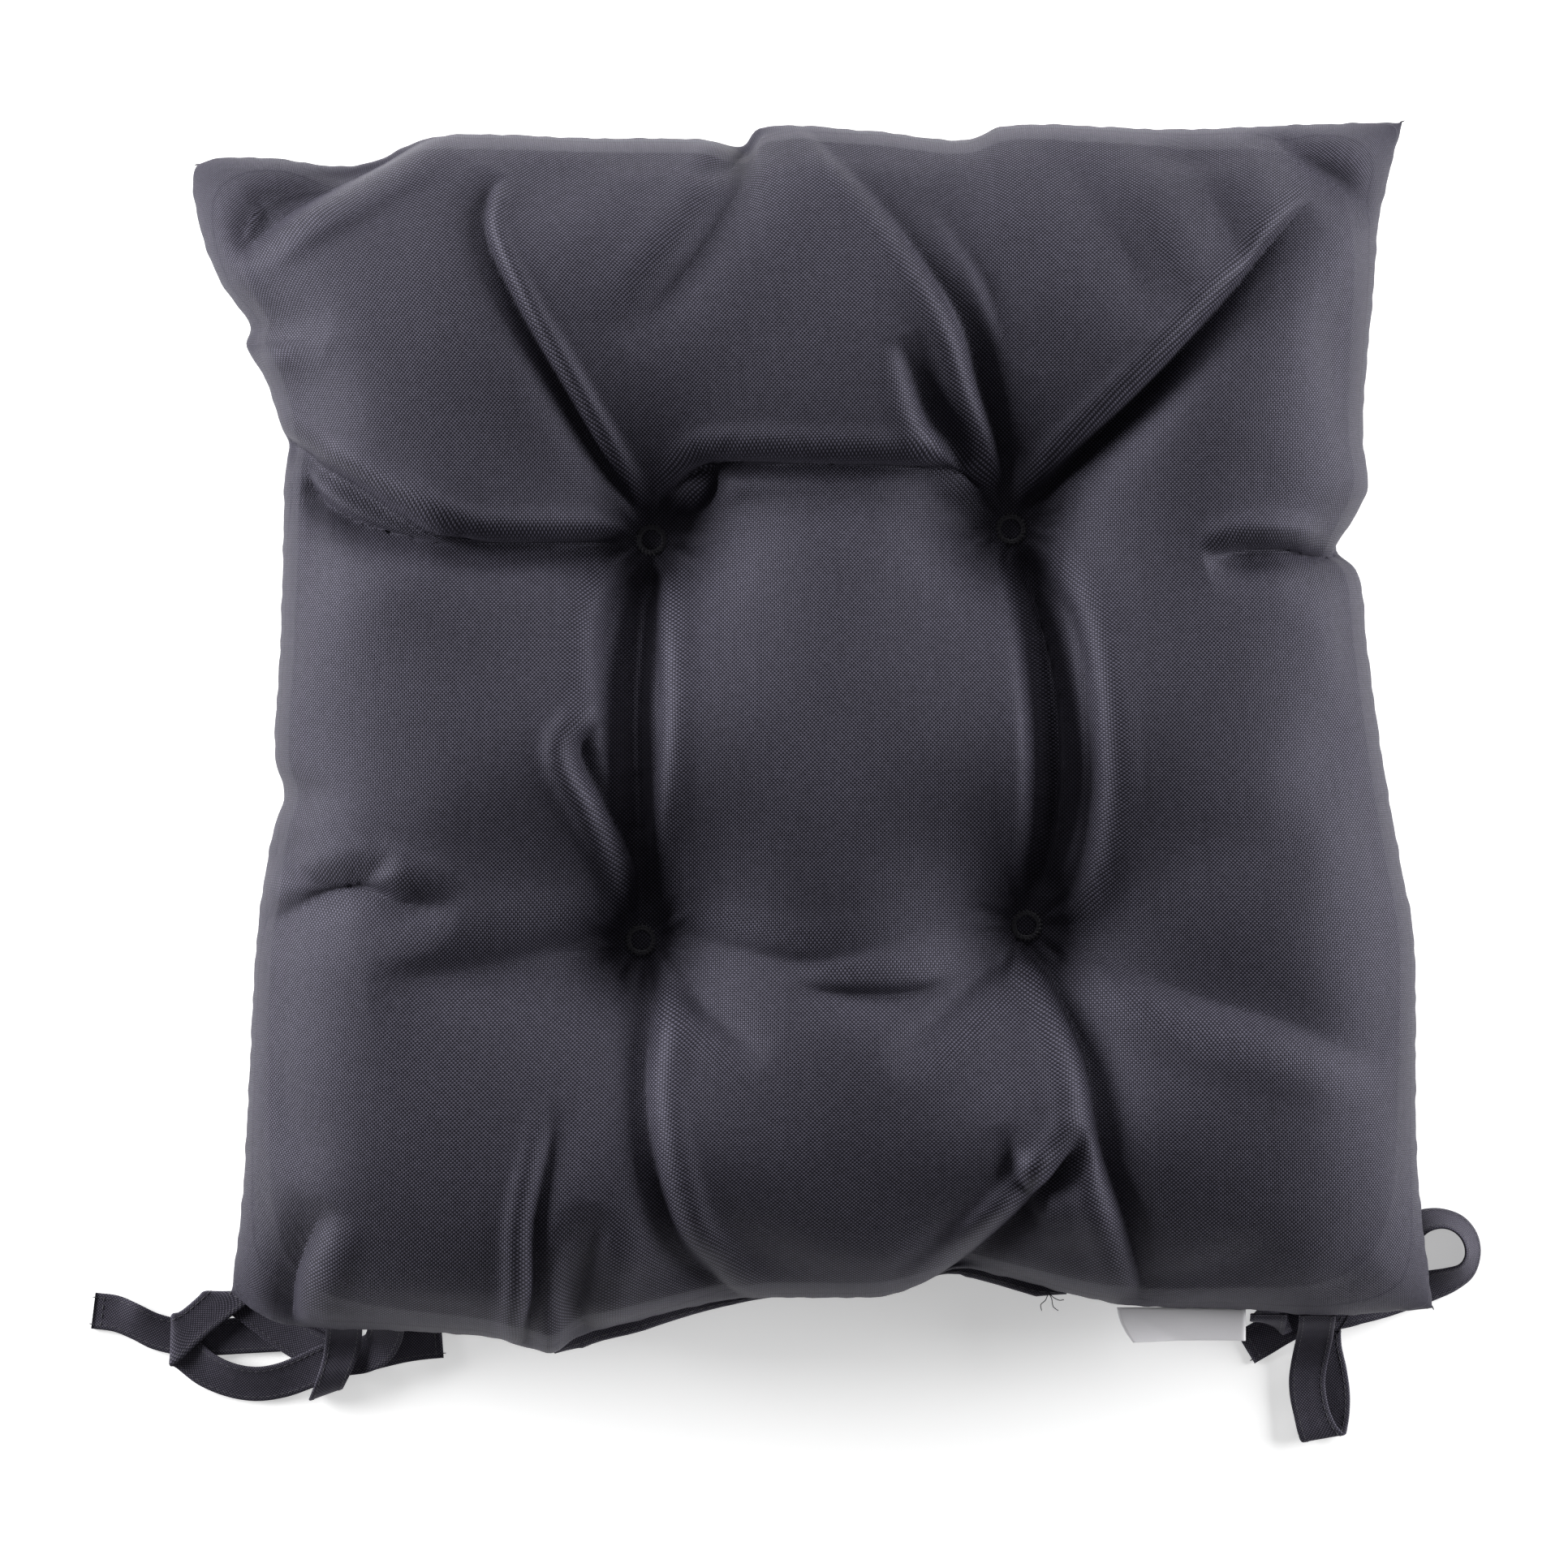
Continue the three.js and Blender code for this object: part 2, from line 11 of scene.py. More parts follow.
import bpy
import numpy as np
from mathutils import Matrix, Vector


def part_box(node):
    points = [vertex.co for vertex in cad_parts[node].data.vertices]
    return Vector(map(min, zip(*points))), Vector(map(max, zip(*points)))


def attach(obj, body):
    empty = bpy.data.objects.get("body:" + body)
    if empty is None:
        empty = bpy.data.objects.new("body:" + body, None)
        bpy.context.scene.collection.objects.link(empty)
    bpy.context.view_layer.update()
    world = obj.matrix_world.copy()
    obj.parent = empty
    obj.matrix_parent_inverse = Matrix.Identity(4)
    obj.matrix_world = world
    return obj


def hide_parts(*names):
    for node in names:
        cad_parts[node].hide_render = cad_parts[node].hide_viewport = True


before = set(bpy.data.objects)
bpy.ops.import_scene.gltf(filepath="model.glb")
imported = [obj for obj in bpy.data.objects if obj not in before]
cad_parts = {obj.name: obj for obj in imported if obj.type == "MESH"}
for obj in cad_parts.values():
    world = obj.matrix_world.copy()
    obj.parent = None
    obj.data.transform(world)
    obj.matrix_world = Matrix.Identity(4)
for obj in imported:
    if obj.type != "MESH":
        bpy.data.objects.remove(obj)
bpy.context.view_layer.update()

MM = 0.001

# %% [markdown]
# ## The view
# Product pictures of flat things are taken from straight above with a long lens, so that nothing looks nearer
# than it is. A camera can be placed by hand, but its lens follows from two numbers: how far away it stands,
# and how wide a strip of the floor it should see. Working the lens out keeps the framing right when either
# number changes.

# %% Camera
VIEW_MIDDLE = (-8.2 * MM, -15.5 * MM)
VIEW_WIDTH = 508.4 * MM
CAMERA_HEIGHT = 2.6
PAD_MIDDLE_HEIGHT = 40 * MM

camera_data = bpy.data.cameras.new("camera")
camera_data.sensor_width = 36
camera_data.lens = 36 * CAMERA_HEIGHT / VIEW_WIDTH
camera_data.clip_end = 10
camera = bpy.data.objects.new("camera", camera_data)
camera.location = (*VIEW_MIDDLE, CAMERA_HEIGHT + PAD_MIDDLE_HEIGHT)
bpy.context.scene.collection.objects.link(camera)
bpy.context.scene.camera = camera
print("lens", round(camera_data.lens, 1), "mm")

# %% [markdown]
# ## Helpers for meshes
# Every piece here is worked out as points and faces, and then handed to Blender as one mesh. The same few
# steps come back each time: make the mesh, smooth it, give it its cloth coordinates and its material. One
# helper does them, so that the cells further on only say what is particular to their piece.

# %% A piece from points and faces
def piece_from(name, points, faces, material, cloth=None, smooth=True):
    """A mesh object. cloth holds each point's place on the flat cloth, in metres, and becomes its UV map."""
    mesh = bpy.data.meshes.new(name)
    mesh.from_pydata(np.asarray(points, float).tolist(), [], [tuple(map(int, face)) for face in faces])
    mesh.validate()
    if cloth is not None:
        layer = mesh.uv_layers.new(name="cloth")
        loops = np.empty(len(mesh.loops), dtype=np.int32)
        mesh.loops.foreach_get("vertex_index", loops)
        layer.data.foreach_set("uv", np.asarray(cloth, np.float32)[loops].ravel())
    mesh.polygons.foreach_set("use_smooth", [smooth] * len(mesh.polygons))
    mesh.materials.append(material)
    mesh.update()
    piece = bpy.data.objects.new(name, mesh)
    bpy.context.scene.collection.objects.link(piece)
    return piece


# %% [markdown]
# A curve that passes through a few chosen points is all that a tie, a seam or a fold needs. Of the curves
# that do this, the centripetal Catmull-Rom is the one that never loops or overshoots between two close
# points. The CAD model uses it too, so a tie made here from the same points lies exactly where the CAD tie
# lies.

# %% A smooth line through points
def smooth_line(points, steps):
    """Places along a centripetal Catmull-Rom curve: steps of them from each point to the next, and the last point."""
    inner = np.asarray(points, float)
    whole = np.vstack([2 * inner[0] - inner[1], inner, 2 * inner[-1] - inner[-2]])
    knots = np.maximum(np.linalg.norm(np.diff(whole, axis=0), axis=1) ** 0.5, 1e-7)
    places = []
    for i in range(len(inner) - 1):
        before, here, there, after = whole[i:i + 4]
        k0, k1, k2 = knots[i:i + 3]
        leaving = k1 * ((here - before) / k0 - (there - before) / (k0 + k1) + (there - here) / k1)
        arriving = k1 * ((there - here) / k1 - (after - here) / (k1 + k2) + (after - there) / k2)
        for w in np.arange(steps) / steps:
            cubic = (2 * here - 2 * there + leaving + arriving) * w ** 3
            square = (-3 * here + 3 * there - 2 * leaving - arriving) * w ** 2
            places.append(here + leaving * w + square + cubic)
    places.append(inner[-1])
    return np.array(places)


def length_of(line):
    return float(np.linalg.norm(np.diff(line, axis=0), axis=1).sum())


def along(line, shares):
    """The places at these shares, from 0 to 1, of a line's length."""
    steps = np.linalg.norm(np.diff(line, axis=0), axis=1)
    run = np.concatenate([[0], np.cumsum(steps)]) / steps.sum()
    return np.stack([np.interp(shares, run, line[:, k]) for k in range(line.shape[1])], axis=-1)


# %% [markdown]
# ## Helpers for materials
# Blender's shader nodes can be clicked together, but a formula such as a weave is easier to read as a
# formula. This small class wraps a node's socket and gives it Python's operators, so that `1 - mask` adds the
# Math node that works it out. All other nodes come from one method.

# %% Shader arithmetic
class Amount:
    """A number that varies over a surface."""

    def __init__(self, recipe, socket):
        self.recipe, self.socket = recipe, socket

    def maths(self, operation, *terms):
        node = self.recipe.node("ShaderNodeMath", {"operation": operation}, dict(enumerate(terms)))
        return Amount(self.recipe, node.outputs[0])

    def __add__(self, other):
        return self.maths("ADD", self, other)

    def __radd__(self, other):
        return self.maths("ADD", other, self)

    def __sub__(self, other):
        return self.maths("SUBTRACT", self, other)

    def __rsub__(self, other):
        return self.maths("SUBTRACT", other, self)

    def __mul__(self, other):
        return self.maths("MULTIPLY", self, other)

    def __rmul__(self, other):
        return self.maths("MULTIPLY", other, self)

    def __pow__(self, other):
        return self.maths("POWER", self, other)

    def __abs__(self):
        return self.maths("ABSOLUTE", self)

    def sine(self):
        return self.maths("SINE", self)

    def between(self, low, high):
        return self.maths("MAXIMUM", self.maths("MINIMUM", self, high), low)


# %% [markdown]
# A material is written as a recipe. It starts with one Principled surface, and one method adds every other
# node: it takes the node's type, its settings, and what goes into its sockets. The short methods after it are
# the few nodes that come back in each of the cloths.

# %% A material being written
class Recipe:
    """A new material with a Principled surface, and the one method that adds any other node to it."""

    def __init__(self, name, **surface):
        self.material = bpy.data.materials.new(name)
        self.material.use_nodes = True
        self.tree = self.material.node_tree
        self.tree.nodes.clear()
        self.shader = self.node("ShaderNodeBsdfPrincipled", {}, surface)
        output = self.node("ShaderNodeOutputMaterial", {}, {})
        self.tree.links.new(self.shader.outputs[0], output.inputs["Surface"])

    def node(self, kind, settings, inputs):
        made = self.tree.nodes.new(kind)
        for name, value in settings.items():
            setattr(made, name, value)
        for name, value in inputs.items():
            self.put(value, made.inputs[name])
        return made

    def put(self, value, socket):
        value = value.socket if isinstance(value, Amount) else value
        if isinstance(value, bpy.types.NodeSocket):
            self.tree.links.new(value, socket)
        else:
            socket.default_value = value

    def set(self, name, value):
        self.put(value, self.shader.inputs[name])

    def split(self, vector):
        """The X and Y of a vector, as amounts."""
        parts = self.node("ShaderNodeSeparateXYZ", {}, {0: vector}).outputs
        return Amount(self, parts[0]), Amount(self, parts[1])

    def noise(self, vector, scale, detail=2.0):
        """Soft noise round 0, from about -0.5 to 0.5, with lumps of 1 / scale metres."""
        settings = {"noise_dimensions": "3D"}
        inputs = {"Vector": vector, "Scale": scale, "Detail": detail, "Roughness": 0.5}
        return Amount(self, self.node("ShaderNodeTexNoise", settings, inputs).outputs[0]) - 0.5

    def mix(self, share, first, second):
        """A colour between two others."""
        inputs = {"Factor": share, 6: first, 7: second}
        return self.node("ShaderNodeMix", {"data_type": "RGBA"}, inputs).outputs[2]

    def relief(self, height, depth):
        """Sends a height from 0 to 1 to the surface's normal, as bumps of that depth in metres."""
        inputs = {"Height": height, "Distance": depth, "Strength": 1.0}
        self.set("Normal", self.node("ShaderNodeBump", {}, inputs).outputs[0])


def shade(red, green, blue):
    """A colour from the 0 to 255 values that a paint program shows."""
    shares = (red / 255, green / 255, blue / 255)
    linear = [c / 12.92 if c <= 0.04045 else ((c + 0.055) / 1.055) ** 2.4 for c in shares]
    return (*linear, 1)


# %% [markdown]
# ## The cloth
# The covers are a plain weave of thick synthetic yarn, so close up they are a chequer of small raised dots,
# one kind of dot where a thread of the warp is on top and the other where the weft is. Drawing that as an
# image would tie it to one size. Two sine waves across the flat cloth do it exactly: their product is a
# chequer, its size is the height of the yarn, and its sign says which yarn is on top. The waves read the
# piece's own cloth coordinates, so the weave bends with every fold.

# %% Woven cloth
def woven(name, dark, light, pitch, relief, roughness, sheen):
    """Cloth in two shades of yarn. In metres, pitch is from one yarn to the next, and relief how far one stands up."""
    recipe = Recipe(name)
    recipe.set("Sheen Weight", sheen)
    recipe.set("Sheen Roughness", 0.45)
    recipe.set("Sheen Tint", shade(214, 208, 235))
    recipe.set("Specular IOR Level", 0.24)
    recipe.set("Specular Tint", shade(232, 228, 255))
    place = recipe.node("ShaderNodeUVMap", {"uv_map": "cloth"}, {}).outputs[0]
    across, up = recipe.split(place)
    warp = (across * (math.pi / pitch)).sine()
    weft = (up * (math.pi / pitch)).sine()
    chequer = warp * weft
    yarn = abs(chequer) ** 0.5
    # A bolt of cloth is never even: slow clouds of shade, and single yarns that are a little lighter or darker.
    clouds = recipe.noise(place, 22.0, detail=3.0)
    stretched = recipe.node("ShaderNodeMapping", {}, {"Vector": place, "Scale": (1.0, 0.02, 1.0)}).outputs[0]
    slubs = recipe.noise(stretched, 0.35 / pitch, detail=1.0)
    mottle = recipe.noise(place, 0.22 / pitch, detail=2.0)
    lift = chequer * 0.9 + clouds * 0.35 + slubs * 0.12 + mottle * 0.4 + 0.1
    colour = recipe.mix(lift.between(0.0, 1.0), dark, light)
    # Between the yarns the colour is drawn towards near black: painted shade in the hollows of the weave.
    gap_shade = (1.0 - yarn) ** 3.0 * 0.55
    recipe.set("Base Color", recipe.mix(gap_shade, colour, shade(18, 17, 22)))
    recipe.set("Roughness", (roughness + clouds * 0.12 - yarn * 0.06).between(0.3, 1.0))
    recipe.relief(yarn * 0.8 + mottle * 0.25 + 0.1, relief)
    return recipe.material


cover_cloth = woven(
    "slate_cover_cloth", dark=shade(10, 9, 13), light=shade(84, 82, 95),
    pitch=0.62 * MM, relief=0.12 * MM, roughness=0.56, sheen=0.07,
)
tie_cloth = woven(
    "slate_tie_cloth", dark=shade(31, 30, 36), light=shade(88, 85, 96),
    pitch=0.5 * MM, relief=0.07 * MM, roughness=0.66, sheen=0.06,
)
print("cloths:", cover_cloth.name, tie_cloth.name)

# %% [markdown]
# ## The ties
# Each tie is a strip of the same cloth, 12 mm wide, folded in at its edges and stitched down. They are
# knotted in bows and lie on the floor. A tie could be a curve with a flat bevel, but such a curve turns by
# its own rule, and a real tie turns over where it is folded. So each tie is drawn as the route of its middle,
# with the direction across it at every point: heading says which way one edge lies in plan, lean how far that
# line is tipped up, and reach is half its length where the tie is folded over askew. Both edges are then
# smooth curves, and the cloth is the surface between them.

# %% Routes of the ties
# Each point is x, y, z in metres, heading and lean in degrees, and sometimes reach in metres.
left_loop_tie = [
    (-0.138, -0.1883, 0.0225, 0, 0),
    (-0.138, -0.190, 0.0214, 0, 0),
    (-0.1383, -0.1928, 0.0168, -6, 0),
    (-0.1394, -0.197, 0.012, -18, 4),
    (-0.142, -0.2008, 0.0086, -48, 6),
    (-0.1464, -0.203, 0.0065, -74, 2),
    (-0.152, -0.2039, 0.0059, -84, 0),
    (-0.1585, -0.2054, 0.0055, -72, 0),
    (-0.1655, -0.2086, 0.0043, -66, -8),
    (-0.1735, -0.2116, 0.0032, -76, -14),
    (-0.182, -0.2128, 0.0028, -90, -16),
    (-0.1905, -0.2114, 0.0028, -104, -16),
    (-0.1982, -0.208, 0.0026, -122, -12),
    (-0.2044, -0.2032, 0.0025, -138, -4),
    (-0.2084, -0.1992, 0.0029, -100, 0, 0.008),
    (-0.2096, -0.1984, 0.0037, -92, 0, 0.0084),
    (-0.2082, -0.1974, 0.0045, -84, 0, 0.008),
    (-0.203, -0.1934, 0.0043, -46, 0),
    (-0.1966, -0.1882, 0.0043, -44, 0),
    (-0.1914, -0.184, 0.0042, -12, 0, 0.008),
    (-0.1902, -0.1826, 0.0033, 0, 0, 0.0086),
    (-0.1886, -0.184, 0.0025, 10, 0, 0.008),
    (-0.182, -0.1886, 0.0025, 48, 0),
    (-0.175, -0.1938, 0.0026, 54, 0),
    (-0.168, -0.1986, 0.0029, 56, 0),
    (-0.161, -0.202, 0.0037, 68, 0),
    (-0.154, -0.2036, 0.0042, 80, 0),
    (-0.147, -0.203, 0.0042, 94, 0),
    (-0.140, -0.2013, 0.0032, 98, 0),
    (-0.133, -0.1998, 0.0019, 96, 0),
    (-0.1265, -0.1989, 0.0011, 94, 0),
    (-0.1206, -0.1984, 0.0009, 94, 0),
]
left_wrap_tie = [
    (-0.152, -0.1887, 0.0218, 0, 0),
    (-0.152, -0.1905, 0.0206, 0, 0),
    (-0.1522, -0.1938, 0.0152, 0, 0),
    (-0.1528, -0.1984, 0.010, 2, 0),
    (-0.1538, -0.2036, 0.0085, 8, 0),
    (-0.1556, -0.2088, 0.0087, 12, 0),
    (-0.1578, -0.2139, 0.0067, 18, 0),
    (-0.1588, -0.2159, 0.0037, 20, 0),
    (-0.1574, -0.2126, 0.0013, 18, 0),
    (-0.1554, -0.208, 0.0009, 12, 0),
    (-0.1534, -0.2026, 0.0009, 2, 0),
    (-0.1514, -0.198, 0.0009, -36, 0, 0.008),
    (-0.1506, -0.197, 0.0017, -45, 0, 0.0084),
    (-0.1516, -0.1966, 0.0025, -54, 0, 0.008),
    (-0.157, -0.196, 0.0023, -86, 0),
    (-0.165, -0.1958, 0.0013, -90, 0),
    (-0.175, -0.1964, 0.0009, -91, 0),
    (-0.186, -0.197, 0.0009, -91, 0),
    (-0.197, -0.1976, 0.0009, -90, 0),
    (-0.206, -0.1976, 0.0009, -92, 0),
    (-0.215, -0.1956, 0.0015, -102, -6),
    (-0.2215, -0.1924, 0.002, -104, -11),
    (-0.228, -0.1898, 0.001, -98, 0),
    (-0.2355, -0.1888, 0.0009, -97, 0),
]
right_side_tie = [
    (0.150, -0.1886, 0.0219, 0, 0),
    (0.150, -0.1904, 0.0206, 0, 0),
    (0.1502, -0.1919, 0.015, -14, 0),
    (0.1516, -0.192, 0.0088, -44, 0),
    (0.155, -0.1906, 0.0044, -74, 0),
    (0.161, -0.1892, 0.0026, -86, 0),
    (0.168, -0.1886, 0.0026, -89, 0),
    (0.176, -0.1886, 0.0026, -90, 0),
    (0.1844, -0.185, 0.0014, -64, 0),
    (0.1892, -0.176, 0.0014, -46, 6),
    (0.193, -0.1684, 0.003, -46, 20),
    (0.1974, -0.1622, 0.0048, -58, 40),
    (0.203, -0.1588, 0.006, -80, 56),
    (0.2086, -0.1583, 0.0062, -96, 62),
    (0.2138, -0.1604, 0.0062, -124, 62),
    (0.2172, -0.1648, 0.0062, -152, 62),
    (0.218, -0.1702, 0.0062, -182, 62),
    (0.216, -0.1752, 0.0058, -222, 56),
    (0.211, -0.1782, 0.005, -242, 44),
    (0.2048, -0.1802, 0.0038, -248, 30),
    (0.1978, -0.1823, 0.0028, -254, 16),
    (0.1904, -0.1846, 0.0029, -259, 4),
    (0.1832, -0.1865, 0.0038, -263, 0),
    (0.176, -0.188, 0.0043, -266, 0),
    (0.1686, -0.1893, 0.0043, -264, 0),
    (0.1614, -0.1909, 0.0039, -253, 0),
    (0.155, -0.1942, 0.0026, -243, 0),
    (0.1494, -0.1977, 0.0013, -240, 0),
    (0.1436, -0.2011, 0.0009, -239, 0),
]
right_hanging_tie = [
    (0.166, -0.1891, 0.0208, 0, 0),
    (0.166, -0.191, 0.0195, 0, 0),
    (0.166, -0.1942, 0.014, 0, 0),
    (0.1658, -0.1976, 0.0086, -2, 0),
    (0.1652, -0.2016, 0.0054, -4, 0),
    (0.1644, -0.2064, 0.0036, -4, 0),
    (0.1638, -0.2116, 0.0032, 0, 0),
    (0.1642, -0.217, 0.0032, 6, 0),
    (0.1654, -0.2226, 0.0035, 10, 0),
    (0.1672, -0.2278, 0.004, 10, 0, 0.0066),
    (0.1692, -0.2304, 0.0028, 10, 0, 0.0074),
    (0.1706, -0.228, 0.0014, 10, 2, 0.0068),
    (0.172, -0.2226, 0.0014, 8, 5),
    (0.172, -0.216, 0.0014, 4, 5),
    (0.171, -0.2086, 0.0013, 8, 4),
    (0.1694, -0.201, 0.0009, 8, 0),
    (0.1692, -0.194, 0.0009, 0, 0),
    (0.1702, -0.187, 0.0009, -6, 0),
    (0.171, -0.1808, 0.0012, -8, 0),
    (0.1714, -0.1784, 0.004, -8, 0),
    (0.1716, -0.1808, 0.0067, -4, 0),
    (0.1722, -0.185, 0.0065, 16, 0),
    (0.1738, -0.1884, 0.0062, 42, 0),
    (0.1765, -0.1911, 0.0059, 60, 0),
]

# %% [markdown]
# The section of a tie is a flat rounded strip, a little thicker where its edges are folded in. Walking that
# section along the two edge curves, and closing both ends, gives a strap without the twist that a swept curve
# would add. The cloth coordinates run along the tie and across it, in metres, so the weave keeps its size.

# %% Straps between two edge curves
TIE_WIDTH = 12 * MM
TIE_THICKNESS = 1.1 * MM
TIE_STEPS = 5
# Across the strap from edge to edge, and its half thickness there as a share of the full one.
STRAP_SECTION = [(-1.0, 0.0), (-0.985, 0.55), (-0.93, 0.95), (-0.8, 1.0), (-0.66, 0.78), (-0.3, 0.74), (0.0, 0.76),
                 (0.3, 0.74), (0.66, 0.78), (0.8, 1.0), (0.93, 0.95), (0.985, 0.55), (1.0, 0.0)]


def strap_edges(route):
    """The strap's two edge curves."""
    edges = []
    for side in (-1, 1):
        points = []
        for x, y, z, heading, lean, *reach in route:
            turn, tip = math.radians(heading), math.radians(lean)
            line = Vector((math.cos(turn) * math.cos(tip), math.sin(turn) * math.cos(tip), math.sin(tip)))
            points.append(Vector((x, y, z)) + side * (reach[0] if reach else TIE_WIDTH / 2) * line)
        edges.append(smooth_line(points, TIE_STEPS))
    return edges


def strap_frame(route):
    """The strap's middle line, half of its width as a vector, and the unit vector out of its face."""
    near, far = strap_edges(route)
    middle = (near + far) / 2
    heading = np.gradient(middle, axis=0)
    face = np.cross(heading, far - near)
    return middle, (far - near) / 2, face / np.linalg.norm(face, axis=1, keepdims=True)


def make_strap(name, route):
    middle, half, face = strap_frame(route)
    ring = STRAP_SECTION + [(a, -h) for a, h in reversed(STRAP_SECTION[1:-1])]
    run = np.concatenate([[0], np.cumsum(np.linalg.norm(np.diff(middle, axis=0), axis=1))])
    points, cloth = [], []
    for m, w, n, distance in zip(middle, half, face, run):
        for a, h in ring:
            points.append(m + a * w + h * TIE_THICKNESS / 2 * n)
            cloth.append((a * TIE_WIDTH / 2, distance + (0.0 if h >= 0 else 0.31)))
    count, faces = len(ring), []
    for i in range(len(middle) - 1):
        for k in range(count):
            a, b = i * count + k, i * count + (k + 1) % count
            faces.append((a, b, b + count, a + count))
    last = (len(middle) - 1) * count
    for k in range(1, len(STRAP_SECTION) - 1):
        # Each end is closed with faces between its upper and lower points.
        lower_here, lower_next = (count - k) % count, (count - k - 1) % count
        faces.append((k, k + 1, lower_next, lower_here) if k + 1 < len(STRAP_SECTION) - 1 else (k, k + 1, lower_here))
        faces.append((last + lower_here, last + lower_next, last + k + 1, last + k)
                     if k + 1 < len(STRAP_SECTION) - 1 else (last + lower_here, last + k + 1, last + k))
    faces.append((0, 1, count - 1))
    faces.append((last + count - 1, last + 1, last))
    return piece_from(name, points, faces, tie_cloth, cloth), middle, length_of(middle)


ties = {
    "tie_left_loop": (left_loop_tie, "left_ties"),
    "tie_left_wrap": (left_wrap_tie, "left_ties"),
    "tie_right_side_loop": (right_side_tie, "right_ties"),
    "tie_right_hanging_loop": (right_hanging_tie, "right_ties"),
}
strap_pieces = {}
for node, (route, body) in ties.items():
    strap, middle, length = make_strap(node + "_strap", route)
    strap_pieces[node] = (strap, middle, length, route, body)
    print(node, "is", round(length * 1000), "mm long")

# %% [markdown]
# ## Stitches
# Stitches repeat along a line, which is what Geometry Nodes are for. This tree takes loose polylines, walks
# along them at an even spacing, puts one short thread at each place, turned along the line, and makes the
# result real geometry in the thread's material. One tree serves the ties, the seam and the hem.
# Its sizes are named inputs, and its only randomness, how taut each stitch is, has a fixed seed.

# %% The stitching tree
STITCH_SEED = 5


def stitching_tree(material):
    tree = bpy.data.node_groups.new("stitching", "GeometryNodeTree")
    face = tree.interface
    face.new_socket("Lines", in_out="INPUT", socket_type="NodeSocketGeometry")
    for name, value in (("Spacing", 2.6 * MM), ("Stitch Length", 2.0 * MM), ("Thread", 0.35 * MM)):
        socket = face.new_socket(name, in_out="INPUT", socket_type="NodeSocketFloat")
        socket.default_value = value
    seed = face.new_socket("Seed", in_out="INPUT", socket_type="NodeSocketInt")
    seed.default_value = STITCH_SEED
    face.new_socket("Stitches", in_out="OUTPUT", socket_type="NodeSocketGeometry")
    new, link = tree.nodes.new, tree.links.new
    given, result = new("NodeGroupInput"), new("NodeGroupOutput")
    curve = new("GeometryNodeMeshToCurve")
    link(given.outputs["Lines"], curve.inputs["Mesh"])
    places = new("GeometryNodeCurveToPoints")
    places.mode = "LENGTH"
    link(curve.outputs[0], places.inputs["Curve"])
    link(given.outputs["Spacing"], places.inputs["Length"])
    bead = new("GeometryNodeMeshUVSphere")
    bead.inputs["Segments"].default_value = 6
    bead.inputs["Rings"].default_value = 5
    bead.inputs["Radius"].default_value = 0.5
    tautness = new("FunctionNodeRandomValue")
    tautness.data_type = "FLOAT"
    tautness.inputs[2].default_value = 0.9
    tautness.inputs[3].default_value = 1.08
    link(given.outputs["Seed"], tautness.inputs["Seed"])
    length = new("ShaderNodeMath")
    length.operation = "MULTIPLY"
    link(given.outputs["Stitch Length"], length.inputs[0])
    link(tautness.outputs[1], length.inputs[1])
    size = new("ShaderNodeCombineXYZ")
    link(given.outputs["Thread"], size.inputs[0])
    link(given.outputs["Thread"], size.inputs[1])
    link(length.outputs[0], size.inputs[2])
    copies = new("GeometryNodeInstanceOnPoints")
    link(places.outputs["Points"], copies.inputs["Points"])
    link(bead.outputs["Mesh"], copies.inputs["Instance"])
    link(places.outputs["Rotation"], copies.inputs["Rotation"])
    link(size.outputs[0], copies.inputs["Scale"])
    real = new("GeometryNodeRealizeInstances")
    link(copies.outputs[0], real.inputs[0])
    smooth = new("GeometryNodeSetShadeSmooth")
    link(real.outputs[0], smooth.inputs[0])
    finish = new("GeometryNodeSetMaterial")
    finish.inputs["Material"].default_value = material
    link(smooth.outputs[0], finish.inputs["Geometry"])
    link(finish.outputs[0], result.inputs["Stitches"])
    return tree


# %% [markdown]
# The thread is twisted polyester, a little glossier than the cloth. A wave along each stitch's own direction
# is finer than the render shows, so the twist is left to a fine noise in its colour and roughness.

# %% Thread material and the stitches' mesh
def thread_material(name, dark, light):
    recipe = Recipe(name)
    place = recipe.node("ShaderNodeTexCoord", {}, {}).outputs["Object"]
    fuzz = recipe.noise(place, 2600.0, detail=2.0)
    recipe.set("Base Color", recipe.mix((fuzz + 0.5).between(0.0, 1.0), dark, light))
    recipe.set("Roughness", (0.55 + fuzz * 0.3).between(0.2, 0.9))
    recipe.set("Sheen Weight", 0.2)
    recipe.relief(fuzz + 0.5, 0.08 * MM)
    return recipe.material


slate_thread = thread_material("slate_thread", shade(24, 23, 29), shade(52, 50, 60))
stitching = stitching_tree(slate_thread)


